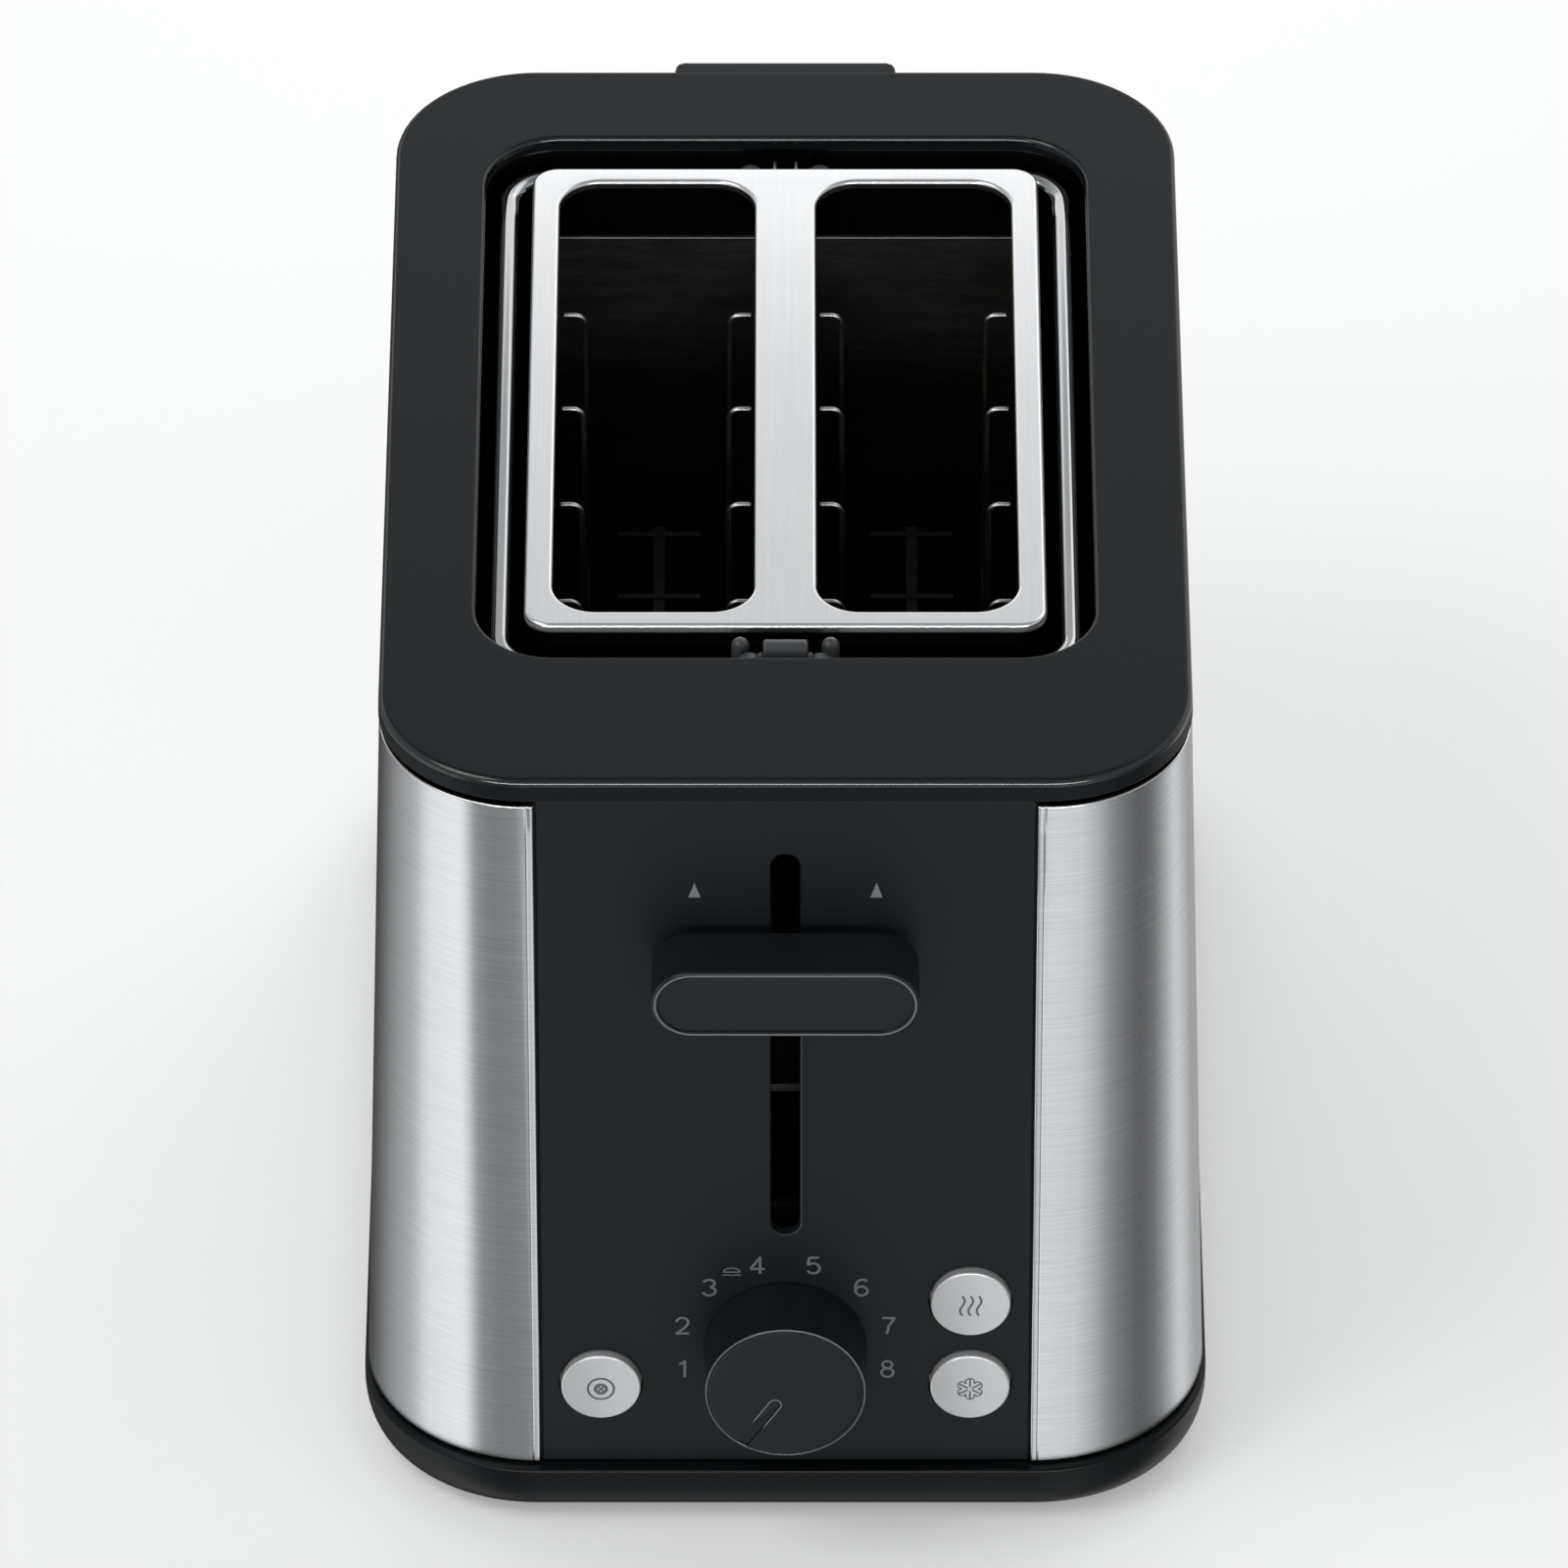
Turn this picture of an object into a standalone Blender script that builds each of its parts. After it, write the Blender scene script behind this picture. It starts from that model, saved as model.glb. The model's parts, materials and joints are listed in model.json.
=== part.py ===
"""Two-slot pop-up toaster as an assembly of separate pieces.

Metres, +Z up, -Y is the front. The housing's own frame has Y = 0 at the middle of the top frame;
an empty shifts it so that the world origin is under the middle of the whole object, at foot level.
"""

import math

import bmesh
import bpy

MM = 0.001
GAP = 0.3 * MM  # between two pieces that touch
HAIR = 0.01 * MM  # keeps faces of joined solids off one plane
CUT = 5.0 * MM  # how far a cutter runs past what it cuts

# Bread slots and the steel plate round them
SLOT_WIDTH = 42.0 * MM
SLOT_LENGTH = 151.4 * MM
SLOT_CORNER = 9.0 * MM
BRIDGE = 13.2 * MM  # between the two slots
PLATE_BORDER_SIDE = 5.9 * MM
PLATE_BORDER_END = 5.05 * MM
PLATE_CORNER = 5.5 * MM
PLATE_SKIRT = 5.0 * MM
PLATE_SHEET = 0.8 * MM
PLATE_DROP = 1.5 * MM  # plate below the top of the rim

# Gutter round the plate, and the ring of the top frame outside it
WELL_SIDE = 10.15 * MM
WELL_FRONT = 12.25 * MM
WELL_REAR = 8.75 * MM
WELL_DEPTH = 16.5 * MM
WELL_WALL = 1.5 * MM
WELL_CORNER = 16.5 * MM
RIM_SIDE = 19.35 * MM
RIM_FRONT = 41.85 * MM
RIM_REAR = 25.05 * MM
RIM_BAND = 5.3 * MM  # height of the rim's outer edge
RIM_INNER = 3.0 * MM  # thickness at the opening
RIM_EDGE = 1.8 * MM  # rounding of the outer top edge
RIM_CORNER = 30.0 * MM
TONGUE_INSET = 3.6 * MM
TONGUE_WALL = 1.6 * MM
TONGUE_DEPTH = 6.0 * MM
RIM_PROUD = 0.2 * MM  # rim outside the shells' line
OPENING_EDGE = 0.8 * MM
WELL_TUCK = 0.2 * MM  # gutter's wall outside the opening
WELL_FLANGE = 4.0 * MM
WELL_LIP = 1.3 * MM  # gutter's inner wall
SKIRT_GAP = 0.4 * MM

# Housing
HEIGHT = 194.5 * MM
SIDE_LEAN = math.radians(1.67)
END_LEAN = math.radians(1.98)
CORNER_GROWTH = 0.039  # corner radius gained for each unit down
FOOT_HEIGHT = 2.5 * MM
FOOT_RADIUS = 7.5 * MM
FOOT_INSET_SIDE = 19.0 * MM
FOOT_INSET_END = 19.5 * MM
BASE_HEIGHT = 12.0 * MM
BASE_FLOOR = 3.0 * MM
BASE_WALL = 6.0 * MM
BASE_LEDGE_SIDE = 0.7 * MM
BASE_LEDGE_END = 2.3 * MM
BASE_UNDERCUT = 4.5 * MM
FOOT_EDGE = 0.6 * MM
SHELL_SHEET = 1.0 * MM
SHELL_REVEAL = 1.4 * MM  # shadow gap under the rim
SHELL_LIFT = 0.7 * MM  # shadow gap over the base
SHELL_RETURN = 0.33 * MM  # flat strip of a shell beside the panel, at the base
PANEL_SEAM = 0.4 * MM
PANEL_FLANGE = 3.0 * MM  # tucked behind the shells
PANEL_RECESS = 0.6 * MM
PANEL_THICK = 2.4 * MM
PANEL_LIFT = 0.5 * MM
SPACER_WIDTH = 48.0 * MM
SPACER_DEPTH = 8.2 * MM
SPACER_HEIGHT = 34.0 * MM
SPACER_DROP = 3.0 * MM
SPACER_EDGE = 2.5 * MM
SPACER_STEP = 0.6 * MM  # behind the rim
SPACER_TAPER = 2.5 * MM

# Controls on the front
KNOB_RADIUS = 17.2 * MM
KNOB_TIP_RADIUS = 16.9 * MM
KNOB_DEPTH = 15.4 * MM
KNOB_HEIGHT = 46.0 * MM
KNOB_BORE = 10.0 * MM
KNOB_EDGE = 0.6 * MM
SHAFT_RADIUS = 3.0 * MM
SHAFT_CLEAR = 0.5 * MM
POT_HALF = 8.0 * MM
POT_FRONT = 7.0 * MM  # potentiometer's front, behind the face
POT_SPARE = 3.0 * MM  # behind it, before the circuit board
BUTTON_RADIUS = 8.4 * MM
BUTTON_PROUD = 1.6 * MM
BUTTON_TRAVEL = 2.0 * MM
BUTTON_OFFSET = 39.0 * MM
BUTTON_LOW = 36.1 * MM
BUTTON_HIGH = 58.4 * MM
BUTTON_CLEAR = 0.35 * MM
BUTTON_CROWN = 1.1 * MM  # fall from a button's middle to its edge
BUTTON_RIM = 1.4 * MM
BUTTON_FLANGE = 1.2 * MM
BUTTON_TAIL = 2.5 * MM
LEVER_WIDTH = 55.4 * MM
LEVER_THICK = 17.0 * MM
LEVER_DEPTH = 13.8 * MM
LEVER_STANDOFF = 3.2 * MM
LEVER_DROP = 44.4 * MM  # lever centre below the rim's top, at rest
LEVER_LIFT = 18.0 * MM  # extra lift for small slices
LEVER_EDGE = 0.8 * MM
LEVER_SLOT = 6.1 * MM
SLOT_SPARE = 3.0 * MM  # above the stem at its highest
SLOT_ABOVE_KNOB = 12.7 * MM
STEM_WIDTH = 5.0 * MM
STEM_HEIGHT = 8.0 * MM
STEM_EDGE = 0.6 * MM
BLOCK_EDGE = 0.8 * MM  # rounding of small moulded blocks

# Mechanism
SHEET = 1.0 * MM  # bulkheads and reflectors
BULKHEAD_MARGIN = 3.4 * MM  # outside the reflectors
REFLECTOR_OUTSET = 11.0 * MM  # outside the slot's edge
BULKHEAD_FRONT_GAP = 5.0 * MM  # in front of the slots
BULKHEAD_REAR_GAP = 7.0 * MM
BULKHEAD_BELLY = 1.6 * MM  # over the crumb tray
REFLECTOR_RAISE = 3.0 * MM  # over the crumb tray
LEG_WIDTH = 6.0 * MM
TAB_LENGTH = 11.0 * MM
BOARD_THICK = 0.8 * MM
BOARD_TO_MIDDLE = 3.2 * MM
BOARD_OUTSET = 3.9 * MM  # outer boards outside the slot's edge
BOARD_RUNS = 7
BOARD_MARGIN = 8.0 * MM
BOARD_TOP_GAP = 4.0 * MM  # boards below the guides' top
BOARD_LOW = 2.0 * MM  # boards below the guides' foot
ELEMENT_RADIUS = 0.5 * MM
GUIDE_REACH = 5.5 * MM
GUIDE_PITCH = 33.6 * MM
GUIDE_COUNT = 4
GUIDE_RADIUS = 0.8 * MM
GUIDE_DROP = 17.5 * MM  # guide wires' top below the plate
GUIDE_FOOT = 24.0 * MM
GUIDE_BEND = 2.2 * MM
GUIDE_TAIL = 6.0 * MM
GUIDE_STUB_GAP = 0.6 * MM  # stubs short of the slot's edge
UPPER_RAIL = 0.55  # share of the guides' height
RAIL_RADIUS = 1.0 * MM
ROD_RADIUS = 3.0 * MM
ROD_SPREAD = 20.0 * MM
ROD_CLEAR = 1.0 * MM
CARRIAGE_SETBACK = 26.0 * MM  # carriage middle in front of the front bulkhead
CARRIAGE_DEPTH = 10.0 * MM
CARRIAGE_HALF = 30.0 * MM
CARRIAGE_BLOCK = 12.0 * MM
CARRIAGE_LOW = 28.0 * MM  # block's underside with the lever down
WEB_HALF = 9.0 * MM
WEB_THICK = 3.0 * MM
WEB_RAISE = 1.0 * MM
MAGNET_HALF = 9.0 * MM
ARMATURE = 2.0 * MM
LIFTER_CLEAR = 1.0 * MM
LIFTER_RAISE = 2.0 * MM
LIFTER_FIRST = 10.0 * MM
LIFTER_END = 4.0 * MM
LIFTER_WIDTH = 2.4 * MM
LIFTER_HEIGHT = 5.0 * MM
LIFTER_BAR_HALF = 9.0 * MM
LIFTER_BAR = 1.6 * MM
LIFTER_BAR_PROUD = 0.4 * MM
LIFTER_BARS = 7
SPRING_RADIUS = 3.4 * MM
SPRING_WIRE = 0.6 * MM
SPRING_TURNS = 9
BRACKET_SHEET = 1.2 * MM
CIRCUIT_SETBACK = 12.0 * MM  # circuit board behind the front panel
CIRCUIT_THICK = 1.6 * MM
CIRCUIT_HALF = 50.0 * MM
CIRCUIT_LOW = 20.0 * MM
CIRCUIT_GAP = 2.0 * MM  # below the lever's slot
CIRCUIT_CORNER = 2.0 * MM
TRAY_CLEAR = 3.0 * MM  # between the bulkheads' legs
TRAY_HEIGHT = 4.5 * MM
TRAY_WALL = 1.0 * MM
TRAY_FRONT_GAP = 8.0 * MM
HANDLE_LIFT = 0.2 * MM
HANDLE_PROUD = 0.6 * MM
MOUTH_MARGIN = 1.0 * MM
SCREW_RADIUS = 1.8 * MM
SCREW_HEAD = 3.6 * MM
SCREW_LENGTH = 9.0 * MM
SCREW_HEAD_HEIGHT = 1.5 * MM
SCREW_EDGE = 0.4 * MM
SCREW_CLEAR = 0.4 * MM
SCREW_RECESS = 2.0 * MM
GLAND_RADIUS = 5.0 * MM
GLAND_BORE = 3.4 * MM
GLAND_SIDE = -36.0 * MM
GLAND_HEIGHT = 26.0 * MM
GLAND_FLANGE = 2.2 * MM
GLAND_RIM = 1.6 * MM
GLAND_LENGTH = 8.0 * MM
TERMINAL_HALF = 20.0 * MM
TERMINAL_DEPTH = 10.0 * MM
TERMINAL_HEIGHT = 14.0 * MM
TERMINAL_RAISE = 4.0 * MM

# Fold-up bun rack in the gutter
RACK_WIRE = 2.5 * MM
RACK_DROP = 8.0 * MM
RACK_PIVOT = 7.5 * MM  # hinge axes left and right of the middle
RACK_BOSS = 4.6 * MM
RACK_BEND = 9.0 * MM
RACK_PIN = 1.2 * MM
BOSS_BORE = 1.6 * MM
BOSS_HALF = 2.8 * MM
RACK_SETBACK = 0.8 * MM  # rack's ends in front of the gutter's middle
RACK_UPRIGHT = 1.2 * MM
RACK_UPRIGHT_TOP = 2.5 * MM  # over the pins' axis
RACK_EASE = 0.6 * MM  # round the bosses
RACK_TUCK = 0.1 * MM  # joined pieces reach into each other

# Worked out from the above
PLATE_HALF_X = SLOT_WIDTH + BRIDGE / 2 + PLATE_BORDER_SIDE
PLATE_HALF_Y = SLOT_LENGTH / 2 + PLATE_BORDER_END
OPENING_HALF_X = PLATE_HALF_X + WELL_SIDE
OPENING_HALF_Y = PLATE_HALF_Y + (WELL_FRONT + WELL_REAR) / 2
TOP_HALF_X = OPENING_HALF_X + RIM_SIDE
TOP_HALF_Y = OPENING_HALF_Y + (RIM_FRONT + RIM_REAR) / 2
OPENING_Y = (RIM_FRONT - RIM_REAR) / 2
PLATE_Y = OPENING_Y + (WELL_FRONT - WELL_REAR) / 2
SLOT_X = (BRIDGE + SLOT_WIDTH) / 2
BASE_TOP = FOOT_HEIGHT + BASE_HEIGHT
BODY_DROP = HEIGHT - BASE_TOP
CORNER_X = (
    TOP_HALF_X + BODY_DROP * math.tan(SIDE_LEAN) - RIM_CORNER - BODY_DROP * CORNER_GROWTH
)
PANEL_HALF = CORNER_X - SHELL_RETURN - PANEL_SEAM
FLOOR_TOP = FOOT_HEIGHT + BASE_FLOOR
RIM_UNDER = HEIGHT - RIM_BAND
PLATE_TOP = HEIGHT - PLATE_DROP
WELL_FLOOR = HEIGHT - WELL_DEPTH
WELL_UNDER = WELL_FLOOR - WELL_WALL
LEVER_HEIGHT = HEIGHT - LEVER_DROP
SLOT_BOTTOM = KNOB_HEIGHT + KNOB_RADIUS + SLOT_ABOVE_KNOB
LEVER_LOW = SLOT_BOTTOM + LEVER_SLOT / 2 + STEM_HEIGHT / 2  # clear of the slot's round end
LEVER_FALL = LEVER_HEIGHT - LEVER_LOW
SLOT_TOP = LEVER_HEIGHT + LEVER_LIFT + STEM_HEIGHT / 2 + SLOT_SPARE
FRONT_BULKHEAD_Y = PLATE_Y - SLOT_LENGTH / 2 - BULKHEAD_FRONT_GAP
REAR_BULKHEAD_Y = PLATE_Y + SLOT_LENGTH / 2 + BULKHEAD_REAR_GAP
CHAMBER_TOP = WELL_UNDER - GAP
CARRIAGE_Y = FRONT_BULKHEAD_Y - CARRIAGE_SETBACK
CARRIAGE_REST = CARRIAGE_LOW + LEVER_FALL
ROD_TOP = CHAMBER_TOP - ROD_CLEAR
GUIDE_TOP = PLATE_TOP - GUIDE_DROP
REFLECTOR_X = BRIDGE / 2 + SLOT_WIDTH + REFLECTOR_OUTSET
BULKHEAD_HALF = REFLECTOR_X + SHEET + BULKHEAD_MARGIN
TRAY_HALF = BULKHEAD_HALF - LEG_WIDTH - TRAY_CLEAR
RACK_HEIGHT = HEIGHT - RACK_DROP
RACK_X = OPENING_HALF_X - WELL_SIDE / 2
RACK_FRONT_Y = PLATE_Y - PLATE_HALF_Y - WELL_FRONT / 2 - RACK_SETBACK
RACK_REAR_Y = PLATE_Y + PLATE_HALF_Y + WELL_REAR / 2 - RACK_SETBACK
PANEL_DEPTH = PANEL_RECESS + PANEL_THICK
FRONT_REACH = (
    TOP_HALF_Y
    + (HEIGHT - KNOB_HEIGHT) * math.tan(END_LEAN)
    + KNOB_DEPTH * math.cos(END_LEAN)
    + KNOB_TIP_RADIUS * math.sin(END_LEAN)
)
REAR_REACH = (
    TOP_HALF_Y
    + SPACER_DEPTH * math.cos(END_LEAN)
    + (SPACER_DROP + SPACER_HEIGHT - 2 * SPACER_EDGE) * math.sin(END_LEAN)
)
SHIFT_Y = (FRONT_REACH - REAR_REACH) / 2

CORNER_STEPS = 8
ROUND_SIDES = 24


def clear_scene():
    for obj in list(bpy.data.objects):
        bpy.data.objects.remove(obj, do_unlink=True)


def new_collection(name):
    made = bpy.data.collections.new(name)
    bpy.context.scene.collection.children.link(made)
    return made


clear_scene()
TOASTER = new_collection("pop_up_toaster")
CUTTERS = new_collection("cutters")


def finish(name, colour, roughness, metallic=0.0):
    """A Principled material."""
    material = bpy.data.materials.new(name)
    material.use_nodes = True
    shader = material.node_tree.nodes["Principled BSDF"]
    shader.inputs["Base Color"].default_value = (*colour, 1)
    shader.inputs["Roughness"].default_value = roughness
    shader.inputs["Metallic"].default_value = metallic
    return material


SATIN_BLACK = (0.026, 0.030, 0.034)
PANEL_BLACK = (0.018, 0.021, 0.024)
GLOSS_BLACK = (0.006, 0.007, 0.008)
STEEL = (0.62, 0.63, 0.64)
BRIGHT_STEEL = (0.74, 0.75, 0.76)
SILVER = (0.52, 0.54, 0.55)
MICA = (0.42, 0.37, 0.29)
WIRE_DARK = (0.20, 0.20, 0.20)
GREEN = (0.02, 0.16, 0.07)
COPPER = (0.55, 0.25, 0.10)
RUBBER = (0.03, 0.03, 0.03)
CREAM = (0.75, 0.73, 0.68)


def empty(name, location, rotation=(0, 0, 0), parent=None):
    made = bpy.data.objects.new(name, None)
    made.location = location
    made.rotation_euler = rotation
    made.parent = parent
    TOASTER.objects.link(made)
    return made


HOUSING = empty("housing", (0, SHIFT_Y, 0))
# Local frames of the two leaning ends: +Y goes into the housing, +Z up along the face.
FRONT = empty("front_face", (0, -TOP_HALF_Y, HEIGHT), (-END_LEAN, 0, 0), HOUSING)
REAR = empty("rear_face", (0, TOP_HALF_Y, HEIGHT), (-END_LEAN, 0, math.pi), HOUSING)


def along_face(height):
    """Local Z on a leaning end of a point at this height."""
    return -(HEIGHT - height) / math.cos(END_LEAN)


def place(name, data, location=(0, 0, 0), rotation=(0, 0, 0), parent=HOUSING, material=None):
    """A named piece. Without a material it is a cutter or a helper."""
    made = bpy.data.objects.new(name, data)
    made.location = location
    made.rotation_euler = rotation
    made.parent = parent
    if material:
        TOASTER.objects.link(made)
        data.materials.append(material)
    else:
        CUTTERS.objects.link(made)
        made.hide_render = True
        made.display_type = "WIRE"
    return made


def mesh_of(bm, name, smooth=None):
    """A mesh from bmesh, faces out; smooth is the angle under which edges are shaded smooth."""
    bmesh.ops.recalc_face_normals(bm, faces=bm.faces)
    mesh = bpy.data.meshes.new(name)
    bm.to_mesh(mesh)
    bm.free()
    if smooth:
        mesh.shade_smooth()
        mesh.set_sharp_from_angle(angle=math.radians(smooth))
    return mesh


def boolean(target, tool, operation="DIFFERENCE"):
    step = target.modifiers.new(operation.lower(), "BOOLEAN")
    step.operation = operation
    step.object = tool
    step.solver = "EXACT"


def bevel(target, width, segments=2):
    step = target.modifiers.new("edges", "BEVEL")
    step.width = width
    step.segments = segments
    step.limit_method = "ANGLE"
    step.angle_limit = math.radians(40)


def box_mesh(name, size):
    bm = bmesh.new()
    bmesh.ops.create_cube(bm, size=1)
    bmesh.ops.scale(bm, vec=size, verts=bm.verts)
    return mesh_of(bm, name)


def block(name, low, high, parent=HOUSING, material=None, rounding=0):
    """A box between two corners, its origin at its middle."""
    size = [b - a for a, b in zip(low, high)]
    middle = [(a + b) / 2 for a, b in zip(low, high)]
    made = place(name, box_mesh(name, size), middle, parent=parent, material=material)
    if rounding:
        bevel(made, rounding)
    return made


def cylinder(name, radius, length, centre, rotation=(0, 0, 0), parent=HOUSING, material=None,
             sides=ROUND_SIDES):
    """A cylinder along its own Z."""
    bm = bmesh.new()
    bmesh.ops.create_cone(
        bm, cap_ends=True, segments=sides, radius1=radius, radius2=radius, depth=length
    )
    return place(name, mesh_of(bm, name, 40), centre, rotation, parent, material)


ALONG_Y = (math.pi / 2, 0, 0)


def turned(name, profile, centre, rotation=(0, 0, 0), parent=HOUSING, material=None,
           sides=ROUND_SIDES):
    """A turned piece: profile is (radius, height) down the outer side, about its own Z."""
    bm = bmesh.new()
    points = [bm.verts.new((radius, 0, height)) for radius, height in profile]
    for upper, lower in zip(points, points[1:]):
        bm.edges.new((upper, lower))
    mesh = bpy.data.meshes.new(name)
    bm.to_mesh(mesh)
    bm.free()
    made = place(name, mesh, centre, rotation, parent, material)
    spin = made.modifiers.new("spin", "SCREW")
    spin.steps = spin.render_steps = sides
    spin.use_merge_vertices = True
    spin.merge_threshold = 0.01 * MM
    return made


def arc(centre, radius, start, end, steps=CORNER_STEPS):
    """Points on an arc, angles in degrees."""
    turns = [math.radians(start + (end - start) * i / steps) for i in range(steps + 1)]
    return [
        (centre[0] + radius * math.cos(t), centre[1] + radius * math.sin(t)) for t in turns
    ]


def rounded(half_x, half_y, radius, centre=(0, 0), steps=CORNER_STEPS):
    """A rounded rectangle, anticlockwise."""
    points = []
    for quarter, (sx, sy) in enumerate(((1, 1), (-1, 1), (-1, -1), (1, -1))):
        corner = (centre[0] + sx * (half_x - radius), centre[1] + sy * (half_y - radius))
        points += arc(corner, radius, 90 * quarter, 90 * quarter + 90, steps)
    return points


def circle(radius, centre=(0, 0), sides=ROUND_SIDES):
    return arc(centre, radius, 0, 360 - 360 / sides, sides - 1)


def loft(name, sections, closed=False, **where):
    """Walls between outlines of equal count, given as (points, z); closed joins last to first."""
    bm = bmesh.new()
    loops = [[bm.verts.new((x, y, z)) for x, y in points] for points, z in sections]
    pairs = list(zip(loops, loops[1:]))
    if closed:
        pairs.append((loops[-1], loops[0]))
    for low, high in pairs:
        for i, corner in enumerate(low):
            j = (i + 1) % len(low)
            bm.faces.new((corner, low[j], high[j], high[i]))
    if not closed:
        bm.faces.new(reversed(loops[0]))
        bm.faces.new(loops[-1])
    return place(name, mesh_of(bm, name, 50), **where)


def prism(name, outline, low, high, **where):
    return loft(name, [(outline, low), (outline, high)], **where)


def sheet(name, outlines, thickness, **where):
    """A flat plate in its own XY plane; outlines inside the first are holes."""
    curve = bpy.data.curves.new(name, "CURVE")
    curve.dimensions = "2D"
    curve.fill_mode = "BOTH"
    curve.extrude = thickness / 2
    for outline in outlines:
        spline = curve.splines.new("POLY")
        spline.points.add(len(outline) - 1)
        for point, (x, y) in zip(spline.points, outline):
            point.co = (x, y, 0, 1)
        spline.use_cyclic_u = True
    return place(name, curve, **where)


def wire(name, points, radius, **where):
    """A round wire along straight runs."""
    curve = bpy.data.curves.new(name, "CURVE")
    curve.dimensions = "3D"
    curve.bevel_depth = radius
    curve.bevel_resolution = 2
    curve.use_fill_caps = True
    spline = curve.splines.new("POLY")
    spline.points.add(len(points) - 1)
    for point, place_on in zip(spline.points, points):
        point.co = (*place_on, 1)
    return place(name, curve, **where)


def as_mesh(source):
    """The curve made a welded mesh object in the same place; the curve is removed."""
    bpy.context.view_layer.update()
    graph = bpy.context.evaluated_depsgraph_get()
    mesh = bpy.data.meshes.new_from_object(source.evaluated_get(graph))
    bm = bmesh.new()
    bm.from_mesh(mesh)
    bmesh.ops.remove_doubles(bm, verts=bm.verts, dist=0.001 * MM)
    bmesh.ops.recalc_face_normals(bm, faces=bm.faces)
    bm.to_mesh(mesh)
    bm.free()
    made = bpy.data.objects.new("mesh", mesh)
    made.parent = source.parent
    made.location = source.location
    made.rotation_euler = source.rotation_euler
    for collection in source.users_collection:
        collection.objects.link(made)
    if CUTTERS in source.users_collection:
        made.hide_render = True
        made.display_type = "WIRE"
    kept = source.name
    bpy.data.objects.remove(source, do_unlink=True)
    made.name = kept
    return made


def body_half_x(height):
    return TOP_HALF_X + (HEIGHT - height) * math.tan(SIDE_LEAN)


def body_half_y(height):
    return TOP_HALF_Y + (HEIGHT - height) * math.tan(END_LEAN)


def body_corner(height):
    return RIM_CORNER + (HEIGHT - height) * CORNER_GROWTH


def body_outline(height, inset=0.0):
    """Plan of the housing at this height."""
    return rounded(
        body_half_x(height) - inset, body_half_y(height) - inset, body_corner(height) - inset
    )


def base_outline(inset=0.0):
    """Plan of the base, the housing's foot with a ledge round it."""
    half_x = body_half_x(BASE_TOP) + BASE_LEDGE_SIDE - inset
    half_y = body_half_y(BASE_TOP) + BASE_LEDGE_END - inset
    return rounded(half_x, half_y, body_corner(BASE_TOP) - inset)


def opening_outline(outset):
    """Plan of the rim's opening, or of a wall outside it."""
    return rounded(
        OPENING_HALF_X + outset, OPENING_HALF_Y + outset, WELL_CORNER + outset, (0, OPENING_Y)
    )


def plate_outline(inset=0.0):
    return rounded(
        PLATE_HALF_X - inset, PLATE_HALF_Y - inset, PLATE_CORNER - inset, (0, PLATE_Y)
    )


def slot_outline(side, outset=0.0):
    return rounded(
        SLOT_WIDTH / 2 + outset, SLOT_LENGTH / 2 + outset, SLOT_CORNER + outset,
        (side * SLOT_X, PLATE_Y),
    )


# Screws that hold the bulkheads' tabs to the base
TAB_SCREW_X = BULKHEAD_HALF + TAB_LENGTH / 2
TAB_SCREWS = [
    (side * TAB_SCREW_X, y + out * TAB_LENGTH / 2)
    for y, out in ((FRONT_BULKHEAD_Y, -1), (REAR_BULKHEAD_Y, 1))
    for side in (-1, 1)
]
TRAY_LOW = FLOOR_TOP + GAP
TRAY_REAR_Y = body_half_y(BASE_TOP) + BASE_LEDGE_END - BASE_WALL


def make_base():
    black = finish("base_plastic", SATIN_BLACK, 0.35)
    low, top = FOOT_HEIGHT, BASE_TOP
    curve = ((0.0, 1.0), (0.12, 0.45), (0.35, 0.10), (0.75, 0.0), (0.93, 0.03), (1.0, 0.30))
    sections = [
        (base_outline(BASE_UNDERCUT * inward), low + (top - low) * up) for up, inward in curve
    ]
    base = loft("base", sections, material=black)
    boolean(base, prism("base_hollow", base_outline(BASE_WALL), FLOOR_TOP, top + CUT))
    mouth_half = TRAY_HALF + MOUTH_MARGIN
    boolean(base, block(
        "tray_mouth",
        (-mouth_half, TRAY_REAR_Y - CUT, FLOOR_TOP - 0.1 * HAIR),
        (mouth_half, TRAY_REAR_Y + 3 * BASE_WALL, FLOOR_TOP + TRAY_HEIGHT + 2 * MOUTH_MARGIN),
    ))
    for i, (x, y) in enumerate(TAB_SCREWS):
        boolean(base, cylinder(
            f"screw_hole_{i}", SCREW_RADIUS + SCREW_CLEAR, 3 * BASE_FLOOR, (x, y, FLOOR_TOP)
        ))
        boolean(base, cylinder(
            f"screw_recess_{i}", SCREW_HEAD + SCREW_CLEAR, 2 * SCREW_RECESS, (x, y, FOOT_HEIGHT)
        ))


def make_feet():
    rubber = finish("foot_rubber", RUBBER, 0.9)
    reach_x = body_half_x(BASE_TOP) - FOOT_INSET_SIDE
    reach_y = body_half_y(BASE_TOP) - FOOT_INSET_END
    for name, sx, sy in (
        ("foot_front_left", -1, -1), ("foot_front_right", 1, -1),
        ("foot_rear_left", -1, 1), ("foot_rear_right", 1, 1),
    ):
        top = FOOT_HEIGHT - GAP
        turned(
            name,
            ((0, top), (FOOT_RADIUS, top), (FOOT_RADIUS, FOOT_EDGE), (FOOT_RADIUS - FOOT_EDGE, 0),
             (0, 0)),
            (sx * reach_x, sy * reach_y, 0), material=rubber, sides=16,
        )


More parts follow.
